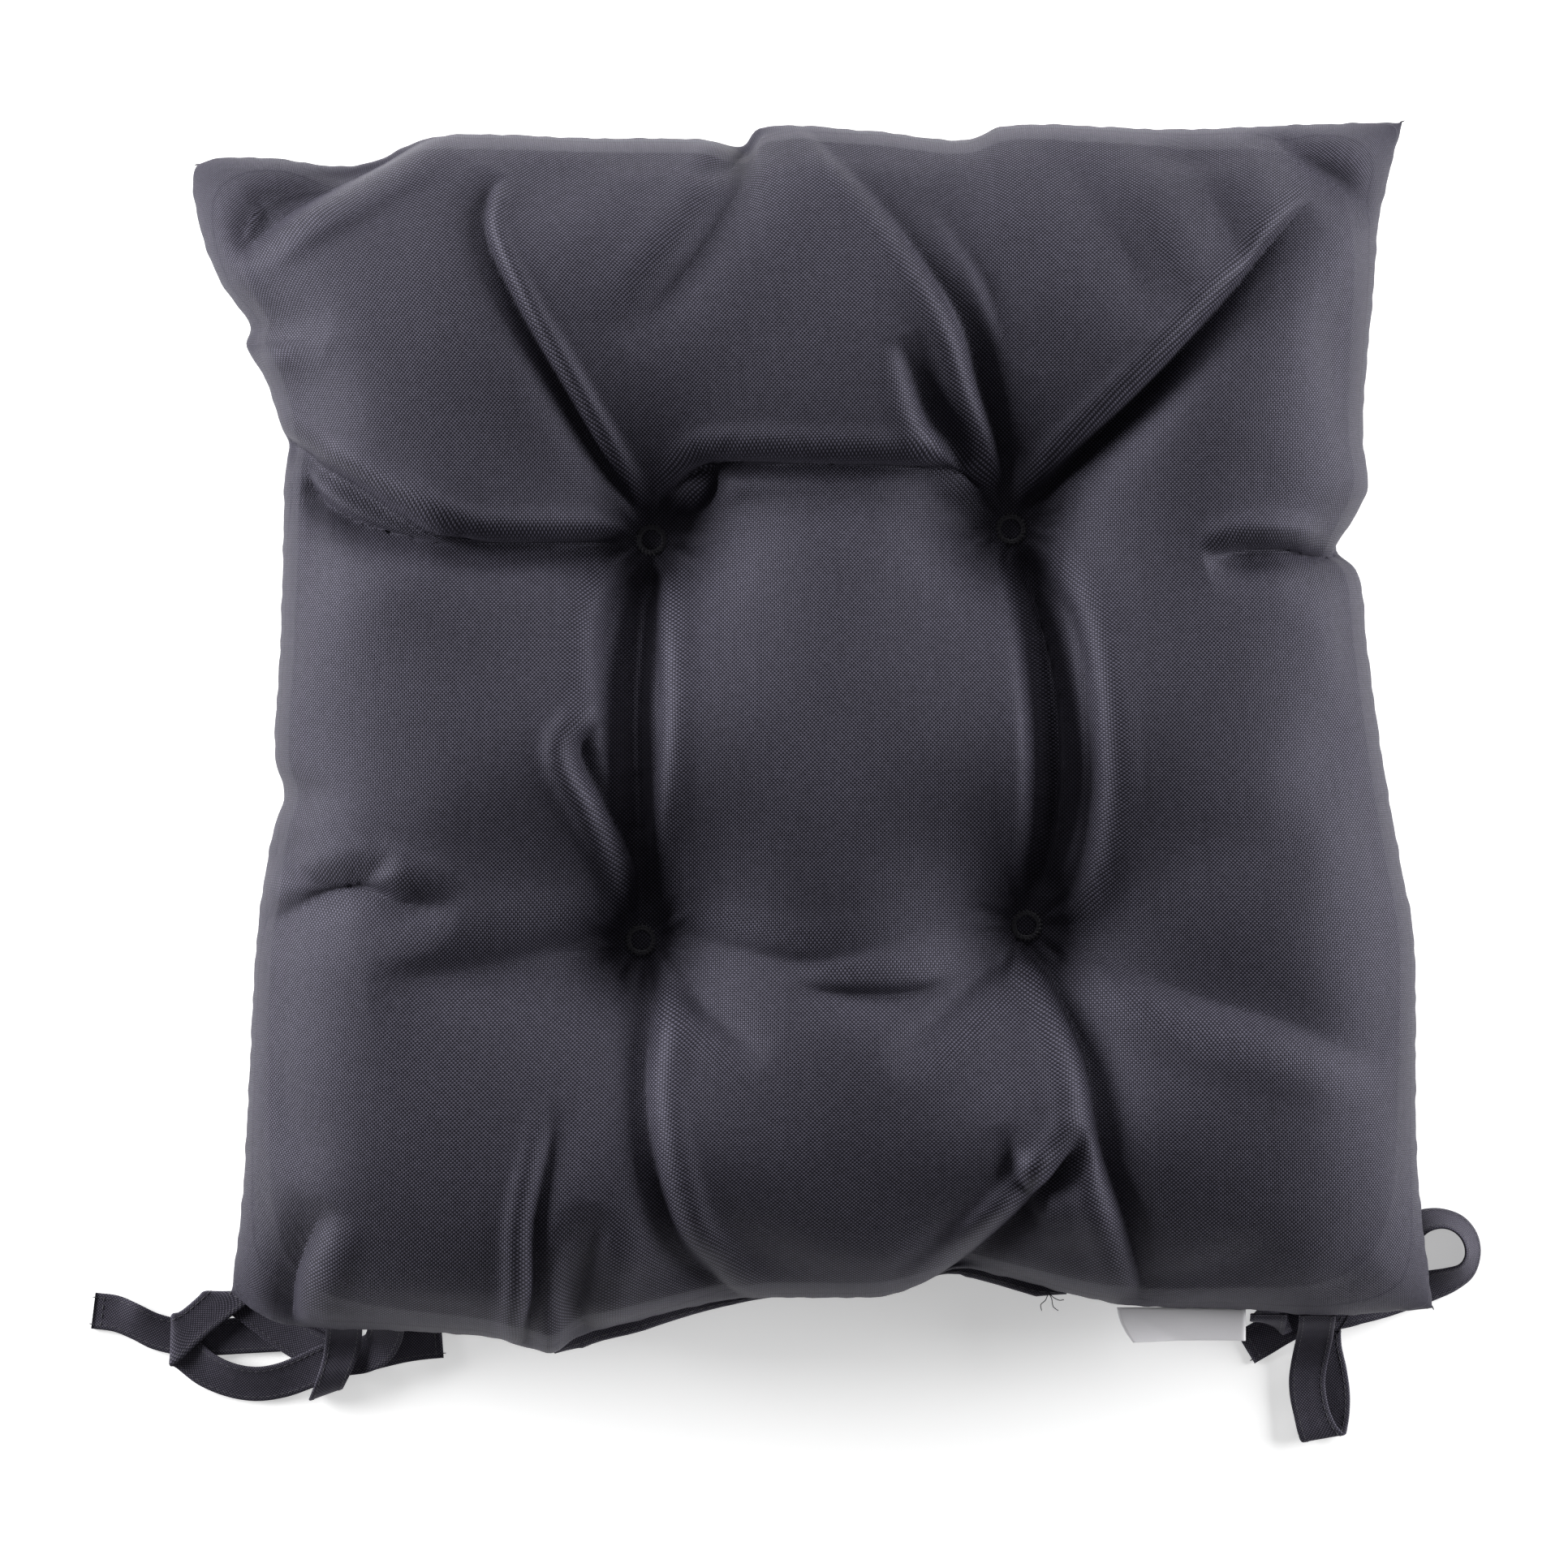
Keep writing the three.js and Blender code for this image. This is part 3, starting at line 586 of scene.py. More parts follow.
def stitched(name, lines, spacing, stitch_length, thread):
    """The stitches along these polylines, as a plain mesh object."""
    points, edges = [], []
    for line in lines:
        first = len(points)
        points.extend(np.asarray(line, float).tolist())
        edges.extend((first + i, first + i + 1) for i in range(len(line) - 1))
    guide = bpy.data.meshes.new(name + "_guide")
    guide.from_pydata(points, edges, [])
    holder = bpy.data.objects.new(name + "_guide", guide)
    bpy.context.scene.collection.objects.link(holder)
    modifier = holder.modifiers.new("stitching", "NODES")
    modifier.node_group = stitching
    values = {"Spacing": spacing, "Stitch Length": stitch_length, "Thread": thread, "Seed": STITCH_SEED}
    for item in stitching.interface.items_tree:
        if item.in_out == "INPUT" and item.name in values:
            modifier[item.identifier] = values[item.name]
    graph = bpy.context.evaluated_depsgraph_get()
    mesh = bpy.data.meshes.new_from_object(holder.evaluated_get(graph), depsgraph=graph)
    mesh.name = name
    bpy.data.objects.remove(holder)
    made = bpy.data.objects.new(name, mesh)
    bpy.context.scene.collection.objects.link(made)
    print(name, "has", len(mesh.polygons), "faces")
    return made


# %% [markdown]
# A line of stitches runs along each edge of a tie, on both of its faces, and once across its free end where
# the raw edge is turned in. The lines come from the same strap frame, a little in from each edge and just
# proud of the cloth.

# %% Edge stitches on the ties
EDGE_STITCH_AT = 0.74  # from the middle of the strap to its edge


def edge_stitch_lines(route):
    middle, half, face = strap_frame(route)
    proud = 0.5 * TIE_THICKNESS * 0.9
    lines = []
    for side in (-1, 1):
        for out in (-1, 1):
            lines.append((middle + side * EDGE_STITCH_AT * half + out * proud * face)[2:])
    for out in (-1, 1):
        across = [middle[-3] + share * half[-3] + out * proud * face[-3] for share in (-0.7, -0.3, 0.3, 0.7)]
        lines.append(np.array(across))
    return lines


for side in ("left", "right"):
    lines = [line for node, (route, _) in ties.items() if side in node for line in edge_stitch_lines(route)]
    stitches = stitched(
        f"tie_stitches_{side}", lines, spacing=2.4 * MM, stitch_length=1.9 * MM, thread=0.3 * MM
    )
    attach(stitches, f"{side}_ties")

for node, (strap, middle, length, route, body) in strap_pieces.items():
    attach(strap, body)
    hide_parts(node)

# %% [markdown]
# ## The outline of the pad
# In plan the pad isn't a rectangle. The filling draws each side in, the corners stay out as points, and here
# and there a tuck in the seam makes a notch. A Coons patch spans four edge curves: give it how far across and
# how far up the cloth a point is, and it returns the place in plan. It is built on smooth edges, and the
# notches are added near the edge only, because a tuck in the seam doesn't reach the middle of the cloth.

# %% Edge curves
# All in millimetres, as x and y, from left to right or from back to front.
SMOOTH_EDGES = {
    "front": [(-204, 190), (-120, 192), (0, 194), (100, 197), (194, 201)],
    "back": [(-189, -182), (-120, -191), (0, -184), (110, -184), (204, -187)],
    "left": [(-189, -182), (-182, -100), (-173, 0), (-174, 100), (-204, 190)],
    "right": [(204, -187), (198, -110), (186, 0), (180, 100), (194, 201)],
}
CREASED_EDGES = {
    "front": [(-204, 190), (-176, 189), (-152, 186), (-141, 188), (-123, 195.4), (-70, 195), (-34, 194.5),
              (-22, 192.5), (-16, 198.2), (20, 197.4), (51, 194.5), (64, 199), (120, 198), (165, 200), (194, 201)],
    "back": [(-189, -182), (-175, -191), (-131, -194), (-104, -196), (-91, -199.5), (-83, -201), (-76, -196),
             (-60, -191.5), (-25, -183.5), (0, -183), (27, -182), (48, -173.5), (61, -175.5), (88, -182.5),
             (104, -185.5), (143, -187), (169, -189), (204, -187)],
    "left": [(-189, -182), (-185, -150), (-183, -118), (-179.5, -60), (-174.5, -30), (-171, -18), (-174, -8),
             (-172.5, 28), (-171.5, 60), (-171, 84), (-169.8, 96), (-172, 101), (-178, 118), (-183.5, 127),
             (-182.4, 134), (-192, 148), (-199, 166), (-204, 190)],
    "right": [(204, -187), (198.5, -140), (197, -64), (193.5, -45), (187, -8), (182, 28), (178.5, 54),
              (171.5, 61), (177, 70), (182, 81), (180.5, 99), (184.5, 150), (186, 168), (194, 201)],
}
EDGE_FADE = 0.13  # how far in a notch reaches, as a share of half the pad
CORNER_ROUND = 0.018  # how far the blunt corner is drawn in, as a share of its distance from the middle


def edge_place(edges, name, share):
    line = smooth_line(np.array(edges[name]) * MM, 8)
    return along(line, (np.asarray(share) + 1) / 2)


def outline_place(s, t):
    """Places in plan of points of the cloth: s and t run from -1 to 1, across and towards the front."""
    s, t = np.broadcast_arrays(np.asarray(s, float), np.asarray(t, float))
    a, b = ((s + 1) / 2)[..., None], ((t + 1) / 2)[..., None]
    sides = {"front": s, "back": s, "left": t, "right": t}
    smooth = {name: edge_place(SMOOTH_EDGES, name, share) for name, share in sides.items()}
    ends = {0: "back", 1: "front"}
    corner = {(i, j): np.array(SMOOTH_EDGES[ends[j]][-i]) * MM for i in (0, 1) for j in (0, 1)}
    place = (1 - b) * smooth["back"] + b * smooth["front"] + (1 - a) * smooth["left"] + a * smooth["right"]
    place = place - (1 - a) * (1 - b) * corner[0, 0] - a * (1 - b) * corner[1, 0]
    place = place - (1 - a) * b * corner[0, 1] - a * b * corner[1, 1]
    inwards = {"front": 1 - t, "back": 1 + t, "left": 1 + s, "right": 1 - s}
    for name, share in sides.items():
        fade = np.exp(-(inwards[name] / EDGE_FADE) ** 2)[..., None]
        place = place + fade * (edge_place(CREASED_EDGES, name, share) - smooth[name])
    blunt = (np.clip(-s, 0, 1) * np.clip(t, 0, 1))[..., None] ** 30  # the left front corner
    return place * (1 - CORNER_ROUND * blunt)


print("pad corners:", outline_place([-1, 1], [-1, 1]).round(4).tolist())

# %% [markdown]
# ## The stuffed shape
# A stuffed pad is fullest between its tufts, falls steeply to its seam, and is nothing at a tuft. All of that
# is one formula: a bulge that is 0 at the edges and 1 inside them, times a dimple round each tuft. The covers
# meet at the seam's height round the edge and higher up at the tufts. The tufts' places are read from the CAD
# model, and each is then moved by two to four millimetres, because tufts pulled by hand don't stand on an
# exact square.

# %% Heights of the two covers
SEAM_HEIGHT = 24 * MM
CORNER_DROOP = 7 * MM
TOP_HEIGHT = 77 * MM
TUFT_CLOTH = 6 * MM  # how far above the meeting level the stuffing holds the top cover, even at a tuft
BOTTOM_CLOTH = 1.2 * MM  # how far below the meeting level the bottom cover hangs, even near a tuft
BOTTOM_DEPTH = 52 * MM  # how far below it the bottom cover would hang between the tufts if it met no floor
FLOOR_ROUND = 3 * MM  # how softly it rounds over to lie flat on the floor
DIMPLE_FLAT = 5.5 * MM
DIMPLE_REACH = 27 * MM
DIMPLE_CURVE = 1.2  # 1 is a cone, 2 a smooth bowl
TUFT_DRIFT = {
    "front_left": (1.4, -1.8), "front_right": (-2.2, 1.6), "back_left": (-2.0, -2.6), "back_right": (2.8, 2.2)
}

tufts = {}
for tuft, (drift_x, drift_y) in TUFT_DRIFT.items():
    low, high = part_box("tuft_thread_" + tuft)
    x, y = (low[0] + high[0]) / 2 + drift_x * MM, (low[1] + high[1]) / 2 + drift_y * MM
    tufts[tuft] = (x, y, low[2], high[2])
TUFT_LEVEL = sum((t[2] + t[3]) / 2 for t in tufts.values()) / 4


def meeting_level(s, t):
    inside = (1 - s ** 4) * (1 - t ** 4)
    rise = (TUFT_LEVEL - SEAM_HEIGHT) * np.minimum(1, 1.03 * inside)
    return SEAM_HEIGHT - CORNER_DROOP * np.abs(s * t) ** 4 + rise


def dimples(plan, reach):
    """From 0 at the tufts to 1 away from them. It is a product over the tufts, so no crease shows halfway between."""
    risen = np.ones(plan.shape[:-1])
    for x, y, _, _ in tufts.values():
        away = np.maximum(0, np.hypot(plan[..., 0] - x, plan[..., 1] - y) - DIMPLE_FLAT)
        risen = risen * (1 - np.exp(-(away / reach) ** DIMPLE_CURVE))
    return risen


def fullness(s, t):
    return np.maximum(0, (1 - s ** 4) * (1 - t ** 4))


def top_height(s, t, plan):
    least = meeting_level(s, t) + TUFT_CLOTH * np.minimum(1, 8 * fullness(s, t))
    return least + (TOP_HEIGHT - least) * fullness(s, t) ** 0.5 * dimples(plan, DIMPLE_REACH)


def bottom_height(s, t, plan):
    most = meeting_level(s, t) - BOTTOM_CLOTH * np.minimum(1, 20 * fullness(s, t))
    free = most - BOTTOM_DEPTH * fullness(s, t) ** 0.72 * dimples(plan, 1.15 * DIMPLE_REACH)
    return (free + np.sqrt(free ** 2 + FLOOR_ROUND ** 2)) / 2


# %% [markdown]
# The cloth is a grid of lines, closer together near the seam where it turns steeply: a sine does that. A
# coarse grid, every fourth line, is used for the simulation, and the fine one for what shows. Top and bottom
# share their outer ring of points, which makes one closed skin.

# %% Grids of the cloth
FINE_HALF = 200
COARSE_STEP = 4


def cloth_grid(half_lines):
    lines = np.sin(np.linspace(-1, 1, 2 * half_lines + 1) * math.pi / 2)
    return np.meshgrid(lines, lines)


def closed_skin(count):
    """Faces over a count by count grid for the top and another for the bottom, joined at their outer ring."""
    top = np.arange(count * count).reshape(count, count)
    bottom = top.copy()
    bottom[1:-1, 1:-1] = count * count + np.arange((count - 2) ** 2).reshape(count - 2, count - 2)
    faces = []
    for grid, turn in ((top, 1), (bottom, -1)):
        quads = np.stack([grid[:-1, :-1], grid[:-1, 1:], grid[1:, 1:], grid[1:, :-1]], axis=-1).reshape(-1, 4)
        faces.append(quads[:, ::turn])
    return np.concatenate(faces)


def skin_points(top, bottom):
    return np.concatenate([top.reshape(-1, 3), bottom[1:-1, 1:-1].reshape(-1, 3)])


def base_skin(half_lines):
    s, t = cloth_grid(half_lines)
    plan = outline_place(s, t)
    top = np.concatenate([plan, top_height(s, t, plan)[..., None]], axis=-1)
    bottom = np.concatenate([plan, bottom_height(s, t, plan)[..., None]], axis=-1)
    return s, t, top, bottom


s_coarse, t_coarse, top_coarse, bottom_coarse = base_skin(FINE_HALF // COARSE_STEP)
print("coarse skin:", s_coarse.size * 2, "points, top", round(float(top_coarse[..., 2].max()) * 1000, 1), "mm")

# %% [markdown]
# ## Letting the cloth settle
# The formula gives a smooth skin, and real cloth isn't smooth: there is more of it than the shape needs, so
# it buckles round the tufts and along the seam. Blender's cloth simulation finds those buckles. The skin gets
# a little more cloth than it has room for and some air pressure for the filling, while the tufts are pinned
# and the seam is held gently. The result isn't kept as a modifier: how far each point moved is read back,
# capped, and added to the fine skin further on.

# %% Cloth simulation on the coarse skin
SETTLE_FRAMES = 18
EXTRA_CLOTH = 0.02
PRESSURE = 3.2
MOST_MOTION = 9 * MM
SMOOTHING_PASSES = 9
UNEVEN = 0.4 * MM  # waves in the skin at the start, so that it has somewhere to buckle
PINNED_RADIUS = 9 * MM  # round a tuft
SEAM_HOLD = 0.75  # 1 would pin it
SEAM_HOLD_REACH = 0.02  # this and the next as shares of half the pad
SEAM_FADE = 0.09


def settle(top, bottom):
    """How far each point of the top and bottom grids moves when the cloth settles."""
    count = top.shape[0]
    waves = UNEVEN * np.sin(top[..., :1] * 91 + 0.7) * np.sin(top[..., 1:2] * 113 + 1.9)
    uneven = waves * np.array([0, 0, 1.0])
    start = skin_points(top + uneven, bottom)
    skin = piece_from("settling_cloth", start, closed_skin(count), cover_cloth)
    near = np.min([np.hypot(top[..., 0] - x, top[..., 1] - y) for x, y, _, _ in tufts.values()], axis=0)
    held = np.where(near < PINNED_RADIUS, 1.0, 0.0)
    edge = np.minimum(1 - np.abs(s_coarse), 1 - np.abs(t_coarse))
    held = np.maximum(held, SEAM_HOLD * np.exp(-(edge / SEAM_HOLD_REACH) ** 2))
    weights = np.concatenate([held.ravel(), held[1:-1, 1:-1].ravel()])
    group = skin.vertex_groups.new(name="held")
    for index in np.nonzero(weights > 0.01)[0]:
        group.add([int(index)], float(weights[index]), "REPLACE")
    cloth = skin.modifiers.new("cloth", "CLOTH")
    settings = cloth.settings
    settings.quality = 5
    settings.mass = 0.25
    settings.tension_stiffness = settings.compression_stiffness = 18
    settings.shear_stiffness = 6
    settings.bending_stiffness = 0.35
    settings.air_damping = 4
    settings.vertex_group_mass = "held"
    settings.shrink_min = -EXTRA_CLOTH
    settings.use_pressure = True
    settings.uniform_pressure_force = PRESSURE
    settings.effector_weights.gravity = 0
    cloth.collision_settings.use_collision = False
    cloth.point_cache.frame_end = SETTLE_FRAMES
    scene = bpy.context.scene
    for number in range(1, SETTLE_FRAMES + 1):
        scene.frame_set(number)
    graph = bpy.context.evaluated_depsgraph_get()
    mesh = skin.evaluated_get(graph).to_mesh()
    moved = np.empty(len(mesh.vertices) * 3)
    mesh.vertices.foreach_get("co", moved)
    skin.evaluated_get(graph).to_mesh_clear()
    scene.frame_set(1)
    moved = moved.reshape(-1, 3) - start
    bpy.data.objects.remove(skin)
    top_motion = moved[:count * count].reshape(count, count, 3)
    bottom_motion = top_motion.copy()
    bottom_motion[1:-1, 1:-1] = moved[count * count:].reshape(count - 2, count - 2, 3)
    return top_motion, bottom_motion


def eased(motion):
    """The motion capped, evened out between neighbours, and faded towards the seam."""
    far = np.linalg.norm(motion, axis=-1, keepdims=True)
    motion = motion * (MOST_MOTION * np.tanh(far / MOST_MOTION) / np.maximum(far, 1e-9))
    for _ in range(SMOOTHING_PASSES):
        around = motion[:-2, 1:-1] + motion[2:, 1:-1] + motion[1:-1, :-2] + motion[1:-1, 2:]
        motion[1:-1, 1:-1] = 0.4 * motion[1:-1, 1:-1] + 0.15 * around
    edge = np.minimum(1 - np.abs(s_coarse), 1 - np.abs(t_coarse))
    fade = np.clip(edge / SEAM_FADE, 0, 1)
    return motion * (fade * fade * (3 - 2 * fade))[..., None]


top_motion, bottom_motion = (eased(motion) for motion in settle(top_coarse, bottom_coarse))
print("cloth moved up to", round(float(np.linalg.norm(top_motion, axis=-1).max()) * 1000, 1), "mm")


# %% [markdown]
# The motion is smooth, so it can be carried from the coarse grid to the fine one with a cubic curve, an even
# Catmull-Rom, first from row to row and then from column to column.

# %% From the coarse grid to the fine one
def finer(grid, step):
    for axis in (0, 1):
        grid = np.moveaxis(grid, axis, 0)
        count = grid.shape[0]
        padded = np.concatenate([2 * grid[:1] - grid[1:2], grid, 2 * grid[-1:] - grid[-2:-1]])
        at = np.arange((count - 1) * step + 1) / step
        i = np.minimum(at.astype(int), count - 2)
        w = (at - i).reshape(-1, *([1] * (grid.ndim - 1)))
        a, b, c, d = padded[i], padded[i + 1], padded[i + 2], padded[i + 3]
        grid = b + 0.5 * w * (c - a + w * (2 * a - 5 * b + 4 * c - d + w * (3 * (b - c) + d - a)))
        grid = np.moveaxis(grid, 0, axis)
    return grid


s_fine, t_fine, plain_top, plain_bottom = base_skin(FINE_HALF)
top_fine = plain_top + finer(top_motion, COARSE_STEP)
bottom_fine = plain_bottom + finer(bottom_motion, COARSE_STEP)

# %% [markdown]
# ## Folds
# Between the tufts and towards the corners the spare cloth lies in folds, and those are what the eye reads
# first. No simulation would put them exactly where this pad has them, so they are listed one by one. A fold is a
# path with a depth at each of its points. On one side of the path the cloth hangs over in a short steep wall
# with a raised lip, and on the other it rises again in a long soft slope. Where both are soft, the fold is a
# plain valley.

# %% The folds of the top cover
# Name: which side hangs over (1 is left of the way along the path, -1 is right), width of the steep wall and of the
# soft slope, height of the lip as a share of the depth, and the path as x, y and depth. All in millimetres.
FOLDS = {
    "valley_left": (1, 5.5, 9, 0, [(-51, 64, 10), (-54, 40, 21), (-56, 5, 23), (-55, -28, 15), (-54, -48, 6),
                                   (-55, -66, 2)]),
    "valley_right": (-1, 5.5, 9, 0, [(66, 67, 10), (72, 42, 24), (77, 5, 28), (77, -26, 22), (74, -46, 10),
                                     (70, -61, 3)]),
    "valley_back": (1, 15, 18, 0, [(-54, -66, 3), (-20, -70, 3), (8, -72, 3), (40, -69, 3), (70, -61, 3)]),
    "valley_front": (1, 13, 15, 0, [(-51, 64, 8), (-20, 75, 8), (10, 78, 8), (40, 76, 8), (66, 67, 8)]),
    "corner_front_right": (1, 3.4, 10, 0.06, [(68, 70, 12), (80, 86, 15), (106, 111, 14), (130, 137, 12),
                                              (147, 157, 8), (158, 170, 4), (167, 177, 0)]),
    "corner_front_left": (-1, 2.4, 7, 0.36, [(-52, 66, 4), (-63, 84, 5.5), (-79, 112, 5.5), (-94, 139, 5.5),
                                             (-104, 163, 5), (-103, 173, 4), (-99, 181, 0)]),
    "flap_left": (-1, 3.2, 10, 0.06, [(-54, 64, 11), (-80, 63, 14), (-110, 64, 16), (-132, 74, 16), (-152, 86, 13),
                                      (-172, 99, 6)]),
    "flap_left_pocket": (-1, 5, 9, 0.1, [(-112, 61, 0), (-130, 65, 14), (-147, 71, 16), (-158, 79, 12),
                                         (-164, 90, 0)]),
    "flap_front": (1, 3.6, 9, 0.08, [(-48, 74, 0), (-38, 86, 10), (-31, 88.5, 13), (5, 88, 14), (38, 87, 12),
                                     (48, 84, 8), (62, 74, 0)]),
    "flap_front_corner": (-1, 4, 7, 0.2, [(-33, 92, 0), (-30, 86, 9), (-34, 75, 10), (-42, 70, 6), (-50, 66, 0)]),
    "tongue_front_right": (-1, 4, 9, 0.12, [(28, 128, 0), (33, 114, 5), (38, 101, 8), (48, 89, 9), (62, 72, 6)]),
    "front_soft_left": (-1, 7, 13, 0.25, [(-14, 200, 5), (-20, 182, 5), (-33, 160, 5), (-46, 142, 4), (-60, 124, 0)]),
    "front_ridge_right": (-1, 4, 9, 0.25, [(0, 196, 2), (22, 172, 4), (36, 152, 6), (47, 133, 7), (54, 112, 8),
                                           (62, 88, 8), (66, 70, 5)]),
    "front_ridge_far_right": (-1, 7, 11, 0.25, [(34, 176, 0), (48, 160, 4), (57, 144, 5), (62, 128, 3),
                                                (66, 112, 0)]),
    "front_wave_one": (1, 9, 12, 0.2, [(74, 190, 0), (92, 170, 3), (106, 148, 3.5), (112, 130, 0)]),
    "front_wave_two": (1, 8, 11, 0.2, [(112, 192, 0), (128, 176, 3), (136, 158, 3), (140, 146, 0)]),
    "front_nick": (-1, 4, 9, 0.3, [(-20, 201, 9), (-22, 192, 8), (-28, 184, 4), (-38, 178, 0)]),
    "ridge_left_valley": (-1, 4, 10, 0.4, [(-62, 8, 0), (-74, -4, 6), (-66, -22, 8), (-57, -42, 9), (-54, -60, 6)]),
    "ridge_left_inner": (1, 4, 7, 0.2, [(-49, 58, 6), (-49, 36, 8), (-48, 10, 6), (-50, -20, 4), (-52, -40, 0)]),
    "ridge_left_outer": (-1, 6, 9, 0.1, [(-58, 58, 5), (-65, 38, 7), (-66, 12, 4), (-62, -6, 0)]),
    "ridge_right_inner": (-1, 3.6, 7, 0.3, [(68, 60, 6), (74, 40, 9), (80, 14, 10), (81, -16, 9), (77, -44, 7),
                                            (73, -57, 3)]),
    "ridge_right_outer": (1, 5, 8, 0.2, [(72, 58, 4), (84, 40, 7), (90, 10, 8), (91, -20, 8), (86, -46, 6),
                                         (76, -58, 3)]),
    "back_crease": (1, 5, 8, 0.2, [(-12, -79, 0), (4, -82, 4), (20, -83, 6), (36, -82, 5), (54, -77, 0)]),
    "back_crease_upper": (1, 5, 8, 0.15, [(-44, -64, 2), (-20, -69, 3), (-4, -72, 4), (14, -71, 3), (34, -68, 0)]),
    "back_left_fan": (-1, 6, 10, 0.2, [(-50, -70, 3), (-38, -84, 4), (-26, -94, 3.5), (-12, -104, 0)]),
    "back_right_fan": (1, 7, 11, 0.2, [(66, -66, 3), (52, -80, 4), (38, -94, 3.5), (24, -107, 0)]),
    "back_left_run": (1, 4.5, 10, 0.3, [(-54, -70, 9), (-51, -84, 8), (-52, -117, 6), (-47, -148, 7),
                                        (-41, -164, 8), (-30, -175, 6), (-20, -184, 3)]),
    "back_left_side_run": (-1, 3.4, 5.5, 0.45, [(-80, -118, 0), (-84, -135, 2.5), (-88, -156, 4), (-89, -178, 5.5),
                                                (-92, -196, 5)]),
    "back_left_low_run": (1, 6, 10, 0.2, [(-66, -150, 0), (-70, -165, 4), (-74, -182, 7), (-72, -196, 6)]),
    "back_right_run": (-1, 5, 13, 0.2, [(70, -64, 9), (78, -80, 10), (88, -104, 10), (93, -132, 9), (101, -156, 8),
                                        (107, -176, 5), (110, -186, 0)]),
    "back_right_overlap": (-1, 3.6, 7, 0.3, [(88, -122, 0), (81, -137, 7), (67, -153, 10), (51, -168, 11),
                                               (40, -177, 8), (32, -184, 0)]),
    "back_right_small": (1, 4, 8, 0.3, [(62, -124, 0), (66, -140, 4), (71, -150, 5), (74, -160, 0)]),
    "side_right_sweep": (-1, 8, 18, 0.2, [(74, -62, 5), (96, -72, 5), (125, -84, 6), (152, -92, 5), (180, -103, 2)]),
    "side_right_pocket": (1, 3.6, 9, 0.25, [(126, 56, 0), (138, 60, 9), (152, 60.5, 11), (166, 58, 9),
                                            (176, 62, 5)]),
    "side_left_pocket": (-1, 6, 11, 0.3, [(-112, -57, 0), (-128, -54, 5), (-146, -50, 8), (-160, -54, 7),
                                          (-174, -60, 3)]),
    "side_left_pocket_upper": (1, 6, 10, 0.25, [(-132, -36, 0), (-142, -44, 5), (-156, -46, 6), (-172, -38, 3)]),
    "side_left_spread": (-1, 8, 15, 0.2, [(-60, -68, 5), (-84, -70, 5), (-112, -76, 5), (-142, -80, 0)]),
    "corner_back_left": (1, 6, 12, 0.25, [(-155, -150, 0), (-161, -162, 6), (-166, -176, 9), (-168, -192, 7)]),
    "corner_front_left_tuck": (-1, 5, 11, 0.25, [(-180, 160, 4), (-166, 170, 8), (-150, 179, 9), (-136, 187, 8),
                                                 (-122, 196, 4)]),
    "corner_front_left_tip": (-1, 4, 8, 0.15, [(-184, 172, 0), (-178, 172, 3), (-174, 166, 3), (-168, 158, 0)]),
    "side_left_notch": (-1, 4, 10, 0.25, [(-186, 126, 6), (-178, 127, 6), (-168, 128, 3), (-156, 124, 0)]),
    "corner_front_right_dip": (1, 7, 12, 0.2, [(146, 200, 0), (156, 188, 5), (172, 178, 5), (182, 166, 0)]),
}
FOLD_END_FADE = 6 * MM
FOLD_ROOM = 16 * MM  # the height of stuffing in which a fold comes to its full depth
VALLEY_ROUND = 3 * MM  # how softly a valley ends at the meeting level, and up to what height that works
VALLEY_ROUND_BELOW = 12 * MM
MOST_LEAN = 0.8  # as a share of the wall, and at 1 the wall would overhang
TUFT_CALM = 15 * MM  # how far round a tuft the lips of the folds are held down


def fold_effect(plan, side, wall, slope, lip, path):
    """What one fold does at the points: how far it drops them, lifts them, and moves them in plan."""
    path = np.array(path) * MM
    line = smooth_line(path, 20)
    way = np.gradient(line[:, :2], axis=0)
    way /= np.linalg.norm(way, axis=1, keepdims=True)
    gap = plan[:, None, :] - line[None, :, :2]
    nearest = np.argmin((gap ** 2).sum(-1), axis=1)
    off, heading = gap[np.arange(len(plan)), nearest], way[nearest]
    aside = side * (heading[:, 0] * off[:, 1] - heading[:, 1] * off[:, 0])
    ahead = (heading * off).sum(-1)
    past_end = np.where(nearest == len(line) - 1, np.maximum(0, ahead), 0)
    beyond = np.where(nearest == 0, np.maximum(0, -ahead), past_end)
    depth = np.maximum(0, line[nearest, 2]) * np.exp(-(beyond / FOLD_END_FADE) ** 2)
    over, under = np.maximum(0, aside) / (wall * MM), np.maximum(0, -aside) / (slope * MM)
    drop = depth * np.where(aside > 0, np.exp(-over ** 2), np.exp(-under ** 1.6))
    raised = lip * depth * np.exp(-((over - 1.9) / 0.9) ** 2) * (aside > 0)
    lean = MOST_LEAN * wall * MM * np.tanh(0.5 * depth / (wall * MM)) * (lip > 0)
    reach = lean * np.exp(-((over - 0.95) / 0.85) ** 2) * (aside > 0)
    across = side * np.stack([-heading[:, 1], heading[:, 0]], axis=-1)
    return drop, raised, -reach[:, None] * across


